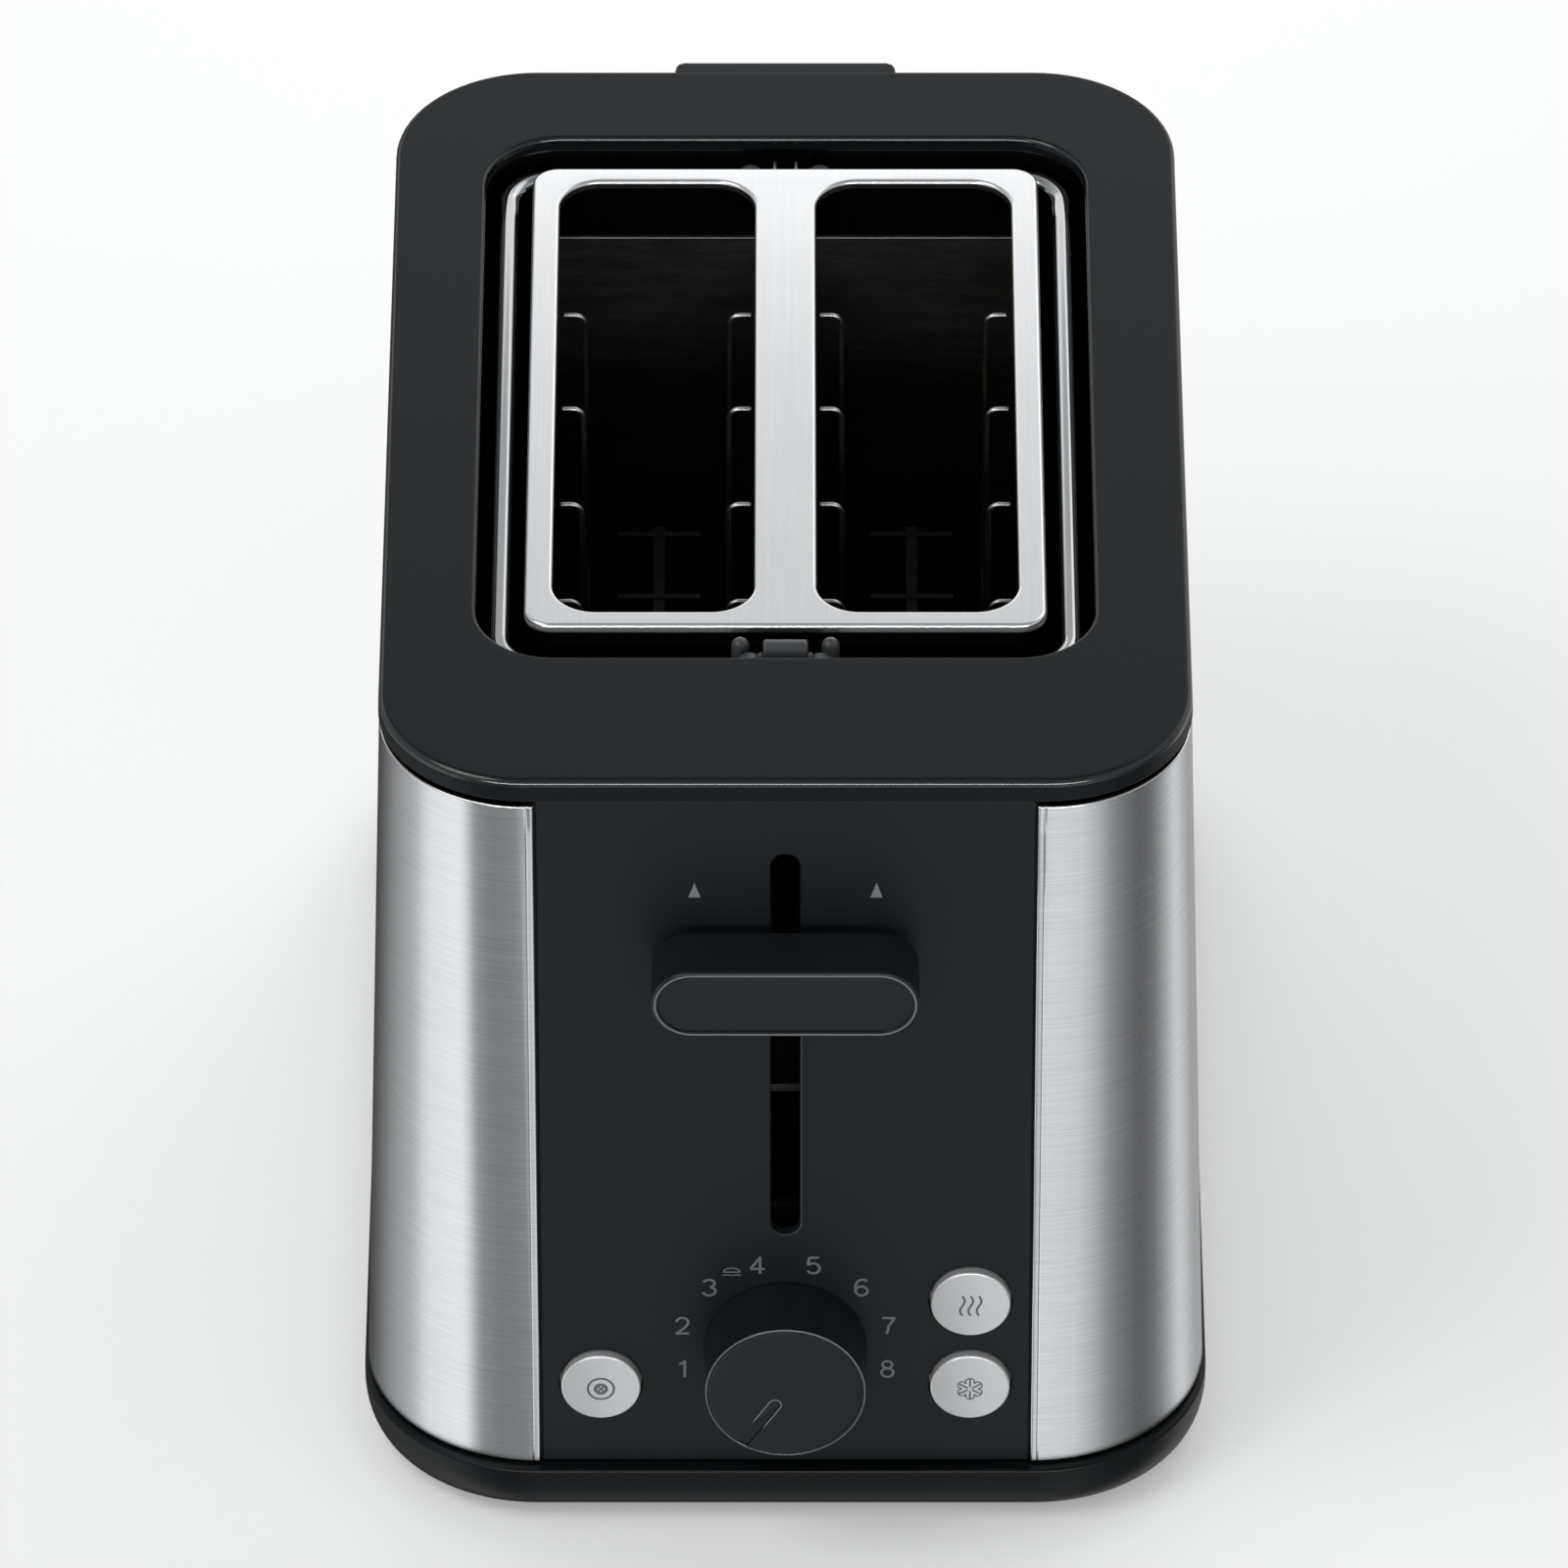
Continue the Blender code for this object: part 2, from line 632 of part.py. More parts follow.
def make_screws():
    steel = finish("screw_steel", STEEL, 0.4, 1.0)
    head = SCREW_HEAD_HEIGHT
    for i, (x, y) in enumerate(TAB_SCREWS):
        turned(
            f"base_screw_{i + 1}",
            ((0, SCREW_LENGTH), (SCREW_RADIUS, SCREW_LENGTH), (SCREW_RADIUS, head),
             (SCREW_HEAD, head), (SCREW_HEAD, SCREW_EDGE), (SCREW_HEAD - SCREW_EDGE, 0), (0, 0)),
            (x, y, FOOT_HEIGHT + GAP / 2), material=steel, sides=12,
        )


def shell_path(height, side):
    """Plan of a side shell: front return, corner, side, corner, rear return."""
    half_x, half_y, radius = body_half_x(height), body_half_y(height), body_corner(height)
    edge = PANEL_HALF + PANEL_SEAM
    path = [(edge, -half_y)]
    path += arc((half_x - radius, -half_y + radius), radius, -90, 0)
    path += arc((half_x - radius, half_y - radius), radius, 0, 90)
    path += [(edge, half_y)]
    return [(side * x, y) for x, y in path]


def make_shells():
    steel = finish("brushed_steel", STEEL, 0.32, 1.0)
    for name, side in (("left_shell", -1), ("right_shell", 1)):
        bm = bmesh.new()
        rows = [
            [bm.verts.new((x, y, z)) for x, y in shell_path(z, side)]
            for z in (BASE_TOP + SHELL_LIFT, RIM_UNDER - SHELL_REVEAL)
        ]
        for i in range(len(rows[0]) - 1):
            corners = (rows[0][i], rows[0][i + 1], rows[1][i + 1], rows[1][i])
            bm.faces.new(corners if side > 0 else reversed(corners))
        mesh = bpy.data.meshes.new(name)
        bm.to_mesh(mesh)
        bm.free()
        mesh.shade_smooth()
        mesh.set_sharp_from_angle(angle=math.radians(40))
        made = place(name, mesh, material=steel)
        wall = made.modifiers.new("sheet", "SOLIDIFY")
        wall.thickness = SHELL_SHEET
        wall.offset = -1
        wall.use_even_offset = True


def panel(name, parent, material):
    """A flat end panel: its face between the shells, its flanges behind them."""
    step = SHELL_SHEET + 2 * GAP
    wide = PANEL_HALF + PANEL_FLANGE
    profile = [
        (-PANEL_HALF, PANEL_RECESS), (PANEL_HALF, PANEL_RECESS), (PANEL_HALF, step), (wide, step),
        (wide, PANEL_DEPTH), (-wide, PANEL_DEPTH), (-wide, step), (-PANEL_HALF, step),
    ]
    low = along_face(BASE_TOP) + PANEL_LIFT
    high = along_face(RIM_UNDER) - GAP
    return prism(name, profile, low, high, parent=parent, material=material)


def into_face(name, outline, parent, **where):
    """A prism along a leaning end's local Y; outline is in its local X and Z."""
    flat = [(x, -z) for x, z in outline]
    reach = PANEL_DEPTH + CUT
    return prism(name, flat, -reach, reach, rotation=(-math.pi / 2, 0, 0), parent=parent, **where)


BUTTONS = (
    ("cancel_button", -BUTTON_OFFSET, BUTTON_LOW),
    ("reheat_button", BUTTON_OFFSET, BUTTON_HIGH),
    ("defrost_button", BUTTON_OFFSET, BUTTON_LOW),
)


def make_front_panel():
    made = panel("front_panel", FRONT, finish("panel_plastic", PANEL_BLACK, 0.5))
    low, high = along_face(SLOT_BOTTOM), along_face(SLOT_TOP)
    half = LEVER_SLOT / 2
    slot = rounded(half, (high - low) / 2, half - HAIR, (0, (low + high) / 2), 4)
    boolean(made, into_face("lever_slot", slot, FRONT))
    hole = circle(SHAFT_RADIUS + SHAFT_CLEAR, (0, along_face(KNOB_HEIGHT)), 16)
    boolean(made, into_face("shaft_hole", hole, FRONT))
    for name, x, z in BUTTONS:
        hole = circle(BUTTON_RADIUS + BUTTON_CLEAR, (x, along_face(z)))
        boolean(made, into_face(f"{name}_hole", hole, FRONT))


def make_rear_panel():
    made = panel("rear_panel", REAR, finish("rear_plastic", SATIN_BLACK, 0.5))
    hole = circle(GLAND_RADIUS + GAP, (GLAND_SIDE, along_face(GLAND_HEIGHT)))
    boolean(made, into_face("gland_hole", hole, REAR))


def make_rear_spacer():
    """Lug that keeps the toaster off a wall; its top passes behind the rim."""
    top = along_face(HEIGHT - SPACER_DROP)
    low = top - SPACER_HEIGHT
    under_rim = along_face(RIM_UNDER) - GAP
    edge = SPACER_EDGE
    profile = [
        (-SPACER_DEPTH, top - edge), (-SPACER_DEPTH + edge, top), (-SPACER_STEP, top),
        (-SPACER_STEP, under_rim), (PANEL_RECESS - GAP, under_rim), (PANEL_RECESS - GAP, low),
        (-SPACER_DEPTH + 2 * edge, low), (-SPACER_DEPTH, low + 2 * edge),
    ]
    bm = bmesh.new()
    face = bm.faces.new([bm.verts.new((-SPACER_WIDTH / 2, y, z)) for y, z in profile])
    grown = bmesh.ops.extrude_face_region(bm, geom=[face])["geom"]
    ends = [item for item in grown if isinstance(item, bmesh.types.BMVert)]
    bmesh.ops.translate(bm, vec=(SPACER_WIDTH, 0, 0), verts=ends)
    made = place(
        "rear_spacer", mesh_of(bm, "rear_spacer"), parent=REAR,
        material=finish("spacer_plastic", SATIN_BLACK, 0.5),
    )
    taper = SPACER_TAPER
    for side in (-1, 1):
        cutter = block(
            f"spacer_end_{side}", (-taper, -taper, -SPACER_HEIGHT), (taper, taper, SPACER_HEIGHT),
            parent=REAR,
        )
        cutter.location = (side * SPACER_WIDTH / 2, -SPACER_DEPTH, (top + low) / 2)
        cutter.rotation_euler = (0, 0, math.pi / 4)
        boolean(made, cutter)


def make_gland():
    """Bushing that the mains lead would pass through."""
    rim = GLAND_RADIUS + GLAND_RIM
    turned(
        "cord_gland",
        ((GLAND_BORE, GLAND_FLANGE), (rim, GLAND_FLANGE), (rim, 0), (GLAND_RADIUS, 0),
         (GLAND_RADIUS, -GLAND_LENGTH), (GLAND_BORE, -GLAND_LENGTH), (GLAND_BORE, GLAND_FLANGE)),
        (GLAND_SIDE, PANEL_RECESS - GAP, along_face(GLAND_HEIGHT)), (math.pi / 2, 0, 0), REAR,
        finish("gland_rubber", RUBBER, 0.7),
    )


def make_top_frame():
    """The matte ring, with a tongue that goes down inside the shells."""
    proud = RIM_PROUD
    tongue_low = RIM_UNDER - TONGUE_DEPTH
    inner = TONGUE_INSET + TONGUE_WALL
    under = HEIGHT - RIM_INNER
    sections = [
        (body_outline(RIM_UNDER, -proud), RIM_UNDER),
        (body_outline(HEIGHT, -proud), HEIGHT - RIM_EDGE),
        (body_outline(HEIGHT, 0.3 * RIM_EDGE - proud), HEIGHT - 0.3 * RIM_EDGE),
        (body_outline(HEIGHT, RIM_EDGE - proud), HEIGHT),
        (opening_outline(OPENING_EDGE), HEIGHT),
        (opening_outline(0), HEIGHT - OPENING_EDGE),
        (opening_outline(0), under),
        (body_outline(HEIGHT, inner), under),
        (body_outline(HEIGHT, inner), tongue_low),
        (body_outline(HEIGHT, TONGUE_INSET), tongue_low),
        (body_outline(HEIGHT, TONGUE_INSET), RIM_UNDER),
    ]
    loft("top_frame", sections, closed=True, material=finish("rim_plastic", SATIN_BLACK, 0.42))


def make_slot_well():
    """The gloss gutter between the rim and the slot plate."""
    top = HEIGHT - RIM_INNER - GAP
    lip_top = PLATE_TOP - PLATE_SHEET - GAP
    outer = PLATE_SHEET + SKIRT_GAP
    sections = [
        (opening_outline(WELL_TUCK), top),
        (opening_outline(WELL_FLANGE), top),
        (opening_outline(WELL_FLANGE), top - WELL_WALL),
        (opening_outline(WELL_TUCK + WELL_WALL), top - WELL_WALL),
        (opening_outline(WELL_TUCK + WELL_WALL), WELL_UNDER),
        (plate_outline(outer + WELL_LIP), WELL_UNDER),
        (plate_outline(outer + WELL_LIP), lip_top),
        (plate_outline(outer), lip_top),
        (plate_outline(outer), WELL_FLOOR),
        (opening_outline(WELL_TUCK), WELL_FLOOR),
    ]
    loft("slot_well", sections, closed=True, material=finish("well_plastic", GLOSS_BLACK, 0.12))


def make_slot_plate():
    """Steel sheet with a skirt outside and a turned-down lip round each slot."""
    steel = finish("plate_steel", BRIGHT_STEEL, 0.3, 1.0)
    outlines = [plate_outline(), slot_outline(-1), slot_outline(1)]
    made = as_mesh(sheet(
        "slot_plate", outlines, PLATE_SKIRT, location=(0, 0, PLATE_TOP - PLATE_SKIRT / 2),
        material=steel,
    ))
    hollow = [plate_outline(PLATE_SHEET)] + [slot_outline(side, PLATE_SHEET) for side in (-1, 1)]
    cutter = as_mesh(sheet(
        "plate_hollow", hollow, PLATE_SKIRT,
        location=(0, 0, PLATE_TOP - PLATE_SHEET - PLATE_SKIRT / 2),
    ))
    boolean(made, cutter)


def make_bulkhead(name, y, slots):
    """Steel end wall of the toasting chamber, on two legs with screwed tabs."""
    top = CHAMBER_TOP
    belly = FLOOR_TOP + TRAY_HEIGHT + BULKHEAD_BELLY
    foot = FLOOR_TOP + GAP
    inside = BULKHEAD_HALF - LEG_WIDTH
    outline = [
        (-BULKHEAD_HALF, foot), (-inside, foot), (-inside, belly), (inside, belly),
        (inside, foot), (BULKHEAD_HALF, foot), (BULKHEAD_HALF, top), (-BULKHEAD_HALF, top),
    ]
    made = as_mesh(sheet(
        name, [outline] + slots, SHEET, location=(0, y, 0), rotation=ALONG_Y,
        material=finish(f"{name}_steel", STEEL, 0.45, 1.0),
    ))
    for i, (x, screw_y) in enumerate(TAB_SCREWS):
        if abs(screw_y - y) > TAB_LENGTH:
            continue
        side = math.copysign(1, x)
        out = math.copysign(1, screw_y - y)
        reach_y = sorted((y - out * SHEET / 2, screw_y + out * TAB_LENGTH / 2))
        reach_x = sorted((side * inside, x + side * TAB_LENGTH / 2))
        tab = block(
            f"{name}_tab_{i}", (reach_x[0], reach_y[0], foot - 0.05 * HAIR),
            (reach_x[1], reach_y[1], foot + SHEET),
        )
        boolean(made, tab, "UNION")
        boolean(made, cylinder(
            f"{name}_tab_hole_{i}", SCREW_RADIUS + GAP, 2 * CUT, (x, screw_y, foot), sides=12
        ))
    return made


def make_chamber():
    half = LIFTER_WIDTH / 2 + LIFTER_CLEAR
    low = CARRIAGE_LOW - LIFTER_CLEAR
    high = CARRIAGE_REST + LEVER_LIFT + LIFTER_RAISE + LIFTER_HEIGHT + 2 * LIFTER_CLEAR
    slots = [
        [(side * SLOT_X + x, z) for x, z in ((-half, low), (half, low), (half, high), (-half, high))]
        for side in (-1, 1)
    ]
    make_bulkhead("front_bulkhead", FRONT_BULKHEAD_Y, slots)
    make_bulkhead("rear_bulkhead", REAR_BULKHEAD_Y, [])
    steel = finish("reflector_steel", BRIGHT_STEEL, 0.35, 1.0)
    near = FRONT_BULKHEAD_Y + SHEET / 2 + GAP
    far = REAR_BULKHEAD_Y - SHEET / 2 - GAP
    low = FLOOR_TOP + TRAY_HEIGHT + REFLECTOR_RAISE
    for name, side in (("reflector_left", -1), ("reflector_right", 1)):
        reach = sorted((side * REFLECTOR_X, side * (REFLECTOR_X + SHEET)))
        block(name, (reach[0], near, low), (reach[1], far, CHAMBER_TOP), material=steel)


def make_heaters():
    mica = finish("mica", MICA, 0.7)
    ribbon = finish("heater_wire", WIRE_DARK, 0.5, 1.0)
    near = FRONT_BULKHEAD_Y + SHEET / 2 + GAP
    far = REAR_BULKHEAD_Y - SHEET / 2 - GAP
    low, high = GUIDE_FOOT - BOARD_LOW, GUIDE_TOP - BOARD_TOP_GAP
    outer = BRIDGE / 2 + SLOT_WIDTH + BOARD_OUTSET
    places = (
        ("left_outer", -outer, 1), ("left_inner", -BOARD_TO_MIDDLE, -1),
        ("right_inner", BOARD_TO_MIDDLE, 1), ("right_outer", outer, -1),
    )
    for name, x, facing in places:
        half = BOARD_THICK / 2
        block(f"heater_board_{name}", (x - half, near, low), (x + half, far, high), material=mica)
        wire_x = x + facing * (half + GAP + ELEMENT_RADIUS)
        margin = BOARD_MARGIN
        pitch = (high - low - 2 * margin) / (BOARD_RUNS - 1)
        points = []
        for run in range(BOARD_RUNS):
            ends = (near + margin, far - margin) if run % 2 == 0 else (far - margin, near + margin)
            points += [(wire_x, y, low + margin + run * pitch) for y in ends]
        wire(f"heating_element_{name}", points, ELEMENT_RADIUS, material=ribbon)


def make_guides():
    """Bread guides: four bent wires on two rails, hinged about the lower rail."""
    steel = finish("guide_wire", STEEL, 0.35, 1.0)
    drop = GUIDE_TOP - GUIDE_FOOT
    bend = GUIDE_BEND
    half_span = GUIDE_PITCH * (GUIDE_COUNT - 1) / 2
    edge_in, edge_out = BRIDGE / 2, BRIDGE / 2 + SLOT_WIDTH
    places = (
        ("left_outer", -edge_out, 1), ("left_inner", -edge_in, -1),
        ("right_inner", edge_in, 1), ("right_outer", edge_out, -1),
    )
    for name, edge, inward in places:
        x = edge + inward * GUIDE_REACH
        reach = half_span + GUIDE_TAIL
        rail = [(0, -reach, 0), (0, reach, 0)]
        made = as_mesh(wire(
            f"bread_guide_{name}", rail, RAIL_RADIUS, location=(x, PLATE_Y, GUIDE_FOOT),
            material=steel,
        ))
        upper = [(0, y, UPPER_RAIL * drop) for y in (-reach, reach)]
        second = as_mesh(wire(f"{name}_upper_rail", upper, RAIL_RADIUS,
                              location=(x, PLATE_Y, GUIDE_FOOT)))
        for i in range(GUIDE_COUNT):
            y = -half_span + i * GUIDE_PITCH
            stub = -inward * (GUIDE_REACH - GUIDE_STUB_GAP)
            points = [
                (0, y, 0), (0, y, drop - bend), (-inward * 0.3 * bend, y, drop - 0.3 * bend),
                (-inward * bend, y, drop), (stub, y, drop),
            ]
            bent = as_mesh(wire(f"{name}_wire_{i}", points, GUIDE_RADIUS,
                                location=(x, PLATE_Y, GUIDE_FOOT)))
            boolean(made, bent, "UNION")
        boolean(made, second, "UNION")


def make_carriage():
    steel = finish("carriage_steel", STEEL, 0.4, 1.0)
    rest, half = CARRIAGE_REST, CARRIAGE_DEPTH / 2
    front, back = CARRIAGE_Y - half, CARRIAGE_Y + half
    stem_low = LEVER_HEIGHT - STEM_HEIGHT / 2
    made = block(
        "carriage", (-CARRIAGE_HALF, front, rest), (CARRIAGE_HALF, back, rest + CARRIAGE_BLOCK),
        material=steel,
    )
    web = block(
        "carriage_web", (-WEB_HALF, front + HAIR, rest + WEB_RAISE),
        (WEB_HALF, front + WEB_THICK, stem_low + STEM_HEIGHT),
    )
    boolean(made, web, "UNION")
    for side in (-1, 1):
        boolean(made, cylinder(
            f"rod_hole_{side}", ROD_RADIUS + GAP, 3 * CARRIAGE_BLOCK,
            (side * ROD_SPREAD, CARRIAGE_Y, rest), sides=16,
        ))
        name = "left" if side < 0 else "right"
        cylinder(
            f"guide_rod_{name}", ROD_RADIUS, ROD_TOP - FLOOR_TOP - 2 * GAP,
            (side * ROD_SPREAD, CARRIAGE_Y, (ROD_TOP + FLOOR_TOP) / 2),
            material=steel, sides=16,
        )
    lever_back = -(TOP_HALF_Y + (HEIGHT - LEVER_HEIGHT) * math.tan(END_LEAN)) - LEVER_STANDOFF
    block(
        "lever_stem", (-STEM_WIDTH / 2, lever_back + GAP, stem_low),
        (STEM_WIDTH / 2, front - GAP, stem_low + STEM_HEIGHT), material=steel, rounding=STEM_EDGE,
    )
    lever_front = lever_back - LEVER_DEPTH
    stadium = rounded(LEVER_WIDTH / 2, LEVER_THICK / 2, LEVER_THICK / 2 - 5 * HAIR)
    flat = [(x, -z) for x, z in stadium]
    edge = LEVER_EDGE
    inner = [(x * (1 - 2 * edge / LEVER_WIDTH), z * (1 - 2 * edge / LEVER_THICK)) for x, z in flat]
    loft(
        "lever_knob", [(inner, 0), (flat, edge), (flat, LEVER_DEPTH)],
        location=(0, lever_front, LEVER_HEIGHT), rotation=(-math.pi / 2, 0, 0),
        material=finish("lever_plastic", SATIN_BLACK, 0.4),
    )
    plate_low = rest - GAP - ARMATURE
    block(
        "armature_plate", (-MAGNET_HALF, front, plate_low), (MAGNET_HALF, back, plate_low + ARMATURE),
        material=steel,
    )
    coil = finish("magnet_coil", COPPER, 0.4, 0.6)
    magnet_top = plate_low - LEVER_FALL - GAP
    block(
        "electromagnet", (-MAGNET_HALF, front, FLOOR_TOP + TRAY_HEIGHT + BULKHEAD_BELLY),
        (MAGNET_HALF, back, magnet_top), material=coil, rounding=BLOCK_EDGE,
    )
    make_lifters(back, rest)
    make_spring(rest)


def make_lifters(back, rest):
    """Racks that carry the bread, one in each slot."""
    steel = finish("lifter_steel", STEEL, 0.4, 1.0)
    far = PLATE_Y + SLOT_LENGTH / 2 - LIFTER_END
    first = PLATE_Y - SLOT_LENGTH / 2 + LIFTER_FIRST
    pitch = (far - LIFTER_END - first) / (LIFTER_BARS - 1)
    for name, side in (("bread_lifter_left", -1), ("bread_lifter_right", 1)):
        x = side * SLOT_X
        low = rest + LIFTER_RAISE
        made = block(
            name, (x - LIFTER_WIDTH / 2, back + GAP, low),
            (x + LIFTER_WIDTH / 2, far, low + LIFTER_HEIGHT), material=steel,
        )
        for i in range(LIFTER_BARS):
            y = first + i * pitch
            bar = block(
                f"{name}_bar_{i}", (x - LIFTER_BAR_HALF, y, low + LIFTER_HEIGHT - LIFTER_BAR),
                (x + LIFTER_BAR_HALF, y + LIFTER_BAR, low + LIFTER_HEIGHT + LIFTER_BAR_PROUD),
            )
            boolean(made, bar, "UNION")


def make_spring(rest):
    """Return spring between the carriage and the rods' top bracket, and that bracket."""
    bracket_low = ROD_TOP - GAP - BRACKET_SHEET
    holes = [circle(ROD_RADIUS + GAP, (side * ROD_SPREAD, CARRIAGE_Y), 16) for side in (-1, 1)]
    near = CARRIAGE_Y - CARRIAGE_DEPTH / 2 - ROD_CLEAR
    far = FRONT_BULKHEAD_Y - SHEET / 2 - GAP
    outline = [
        (-CARRIAGE_HALF, near), (CARRIAGE_HALF, near), (CARRIAGE_HALF, far), (-CARRIAGE_HALF, far)
    ]
    sheet(
        "rod_bracket", [outline] + holes, BRACKET_SHEET,
        location=(0, 0, bracket_low + BRACKET_SHEET / 2),
        material=finish("bracket_steel", STEEL, 0.4, 1.0),
    )
    low = rest + CARRIAGE_BLOCK + GAP + SPRING_WIRE
    high = bracket_low - GAP - SPRING_WIRE
    per_turn = 8
    steps = per_turn * SPRING_TURNS
    points = []
    for i in range(steps + 1):
        turn = 2 * math.pi * i / per_turn
        points.append((
            SPRING_RADIUS * math.cos(turn), SPRING_RADIUS * math.sin(turn),
            (high - low) * i / steps,
        ))
    spring_y = CARRIAGE_Y - CARRIAGE_DEPTH / 2 + WEB_THICK + SPRING_RADIUS + 2 * SPRING_WIRE
    wire("return_spring", points, SPRING_WIRE, location=(0, spring_y, low),
         material=finish("spring_steel", STEEL, 0.35, 1.0))


def face_point(x, height, depth):
    """A place in the front face's local frame."""
    return (x, depth, along_face(height))


OUT_OF_FACE = (math.pi / 2, 0, 0)  # turns a piece's own +Z to point out of the face


def make_controls():
    black = finish("knob_plastic", SATIN_BLACK, 0.35)
    edge = KNOB_EDGE
    clear = GAP - PANEL_RECESS  # the knob's back, in front of the panel
    tip = KNOB_DEPTH
    turned(
        "browning_knob",
        ((0, tip), (KNOB_TIP_RADIUS - edge, tip), (KNOB_TIP_RADIUS, tip - edge),
         (KNOB_RADIUS, clear), (SHAFT_RADIUS + GAP, clear), (SHAFT_RADIUS + GAP, KNOB_BORE),
         (0, KNOB_BORE)),
        face_point(0, KNOB_HEIGHT, 0), OUT_OF_FACE, FRONT, black, sides=36,
    )
    steel = finish("shaft_metal", STEEL, 0.4, 1.0)
    length = KNOB_BORE + POT_FRONT - 2 * GAP
    cylinder(
        "knob_shaft", SHAFT_RADIUS, length,
        face_point(0, KNOB_HEIGHT, POT_FRONT - GAP - length / 2), ALONG_Y, FRONT, steel, 16,
    )
    pot = finish("potentiometer_body", SATIN_BLACK, 0.5)
    block(
        "potentiometer",
        (-POT_HALF, POT_FRONT, along_face(KNOB_HEIGHT) - POT_HALF),
        (POT_HALF, PANEL_DEPTH + CIRCUIT_SETBACK - POT_SPARE, along_face(KNOB_HEIGHT) + POT_HALF),
        parent=FRONT, material=pot, rounding=BLOCK_EDGE,
    )
    silver = finish("button_silver", SILVER, 0.35, 0.7)
    flange_top = -(PANEL_DEPTH + GAP)
    flange_low = flange_top - BUTTON_RIM
    wide = BUTTON_RADIUS + BUTTON_FLANGE
    tail = -(PANEL_DEPTH + CIRCUIT_SETBACK - POT_SPARE - BUTTON_TRAVEL)
    for name, x, z in BUTTONS:
        turned(
            name,
            ((0, BUTTON_PROUD), (0.55 * BUTTON_RADIUS, BUTTON_PROUD - 0.1 * BUTTON_CROWN),
             (0.88 * BUTTON_RADIUS, BUTTON_PROUD - 0.45 * BUTTON_CROWN),
             (BUTTON_RADIUS, BUTTON_PROUD - BUTTON_CROWN),
             (BUTTON_RADIUS, flange_top), (wide, flange_top), (wide, flange_low),
             (BUTTON_TAIL, flange_low), (BUTTON_TAIL, tail), (0, tail)),
            face_point(x, z, 0), OUT_OF_FACE, FRONT, silver,
        )


def make_electrics():
    green = finish("circuit_board", GREEN, 0.4)
    top = SLOT_BOTTOM - CIRCUIT_GAP
    half_height = (top - CIRCUIT_LOW) / 2
    sheet(
        "control_board", [rounded(CIRCUIT_HALF, half_height, CIRCUIT_CORNER, steps=2)], CIRCUIT_THICK,
        location=(0, PANEL_DEPTH + CIRCUIT_SETBACK, along_face(top) - half_height),
        rotation=ALONG_Y, parent=FRONT, material=green,
    )
    middle = (REAR_BULKHEAD_Y + body_half_y(GLAND_HEIGHT) - PANEL_DEPTH) / 2
    low = FLOOR_TOP + TRAY_HEIGHT + TERMINAL_RAISE
    block(
        "terminal_block", (-TERMINAL_HALF, middle - TERMINAL_DEPTH / 2, low),
        (TERMINAL_HALF, middle + TERMINAL_DEPTH / 2, low + TERMINAL_HEIGHT),
        material=finish("terminal_plastic", CREAM, 0.5), rounding=BLOCK_EDGE,
    )


def make_crumb_tray():
    steel = finish("tray_steel", STEEL, 0.4, 1.0)
    front = FRONT_BULKHEAD_Y - TRAY_FRONT_GAP
    back = TRAY_REAR_Y + TRAY_WALL
    made = block(
        "crumb_tray", (-TRAY_HALF, front, TRAY_LOW), (TRAY_HALF, back, TRAY_LOW + TRAY_HEIGHT),
        material=steel,
    )
    boolean(made, block(
        "tray_hollow", (-TRAY_HALF + TRAY_WALL, front + TRAY_WALL, TRAY_LOW + TRAY_WALL),
        (TRAY_HALF - TRAY_WALL, back - TRAY_WALL, TRAY_LOW + 2 * TRAY_HEIGHT),
    ))
    outer = body_half_y(BASE_TOP) + BASE_LEDGE_END
    block(
        "tray_handle", (-TRAY_HALF, back + GAP, TRAY_LOW + HANDLE_LIFT),
        (TRAY_HALF, outer + HANDLE_PROUD, FLOOR_TOP + TRAY_HEIGHT + 2 * MOUTH_MARGIN - GAP),
        material=finish("tray_plastic", SATIN_BLACK, 0.4), rounding=BLOCK_EDGE,
    )


def make_rack():
    """Two C-shaped bails, each hinged near the middle, and the brackets that hold them."""
    gloss = finish("rack_gloss", GLOSS_BLACK, 0.1)
    front, rear = RACK_FRONT_Y, RACK_REAR_Y
    for name, side in (("bun_rack_left", -1), ("bun_rack_right", 1)):
        reach = RACK_X - RACK_PIVOT
        path = [(0, front)]
        path += arc((reach - RACK_BEND, front + RACK_BEND), RACK_BEND, -90, 0)
        path += arc((reach - RACK_BEND, rear - RACK_BEND), RACK_BEND, 0, 90)
        path += [(0, rear)]
        where = {"location": (side * RACK_PIVOT, 0, RACK_HEIGHT)}
        made = as_mesh(wire(
            name, [(side * x, y, 0) for x, y in path], RACK_WIRE, material=gloss, **where
        ))
        for end, y in (("front", front), ("rear", rear)):
            boss = cylinder(f"{name}_{end}_boss", RACK_BOSS, 2 * BOSS_HALF,
                            (side * RACK_PIVOT, y, RACK_HEIGHT), ALONG_Y)
            boolean(made, boss, "UNION")
        bore = cylinder(f"{name}_bore", BOSS_BORE, 2 * (rear - front),
                        (side * RACK_PIVOT, (front + rear) / 2, RACK_HEIGHT), ALONG_Y, sides=12)
        boolean(made, bore)
    make_rack_bracket("rack_bracket_front", front, -1, gloss)
    make_rack_bracket("rack_bracket_rear", rear, 1, gloss)


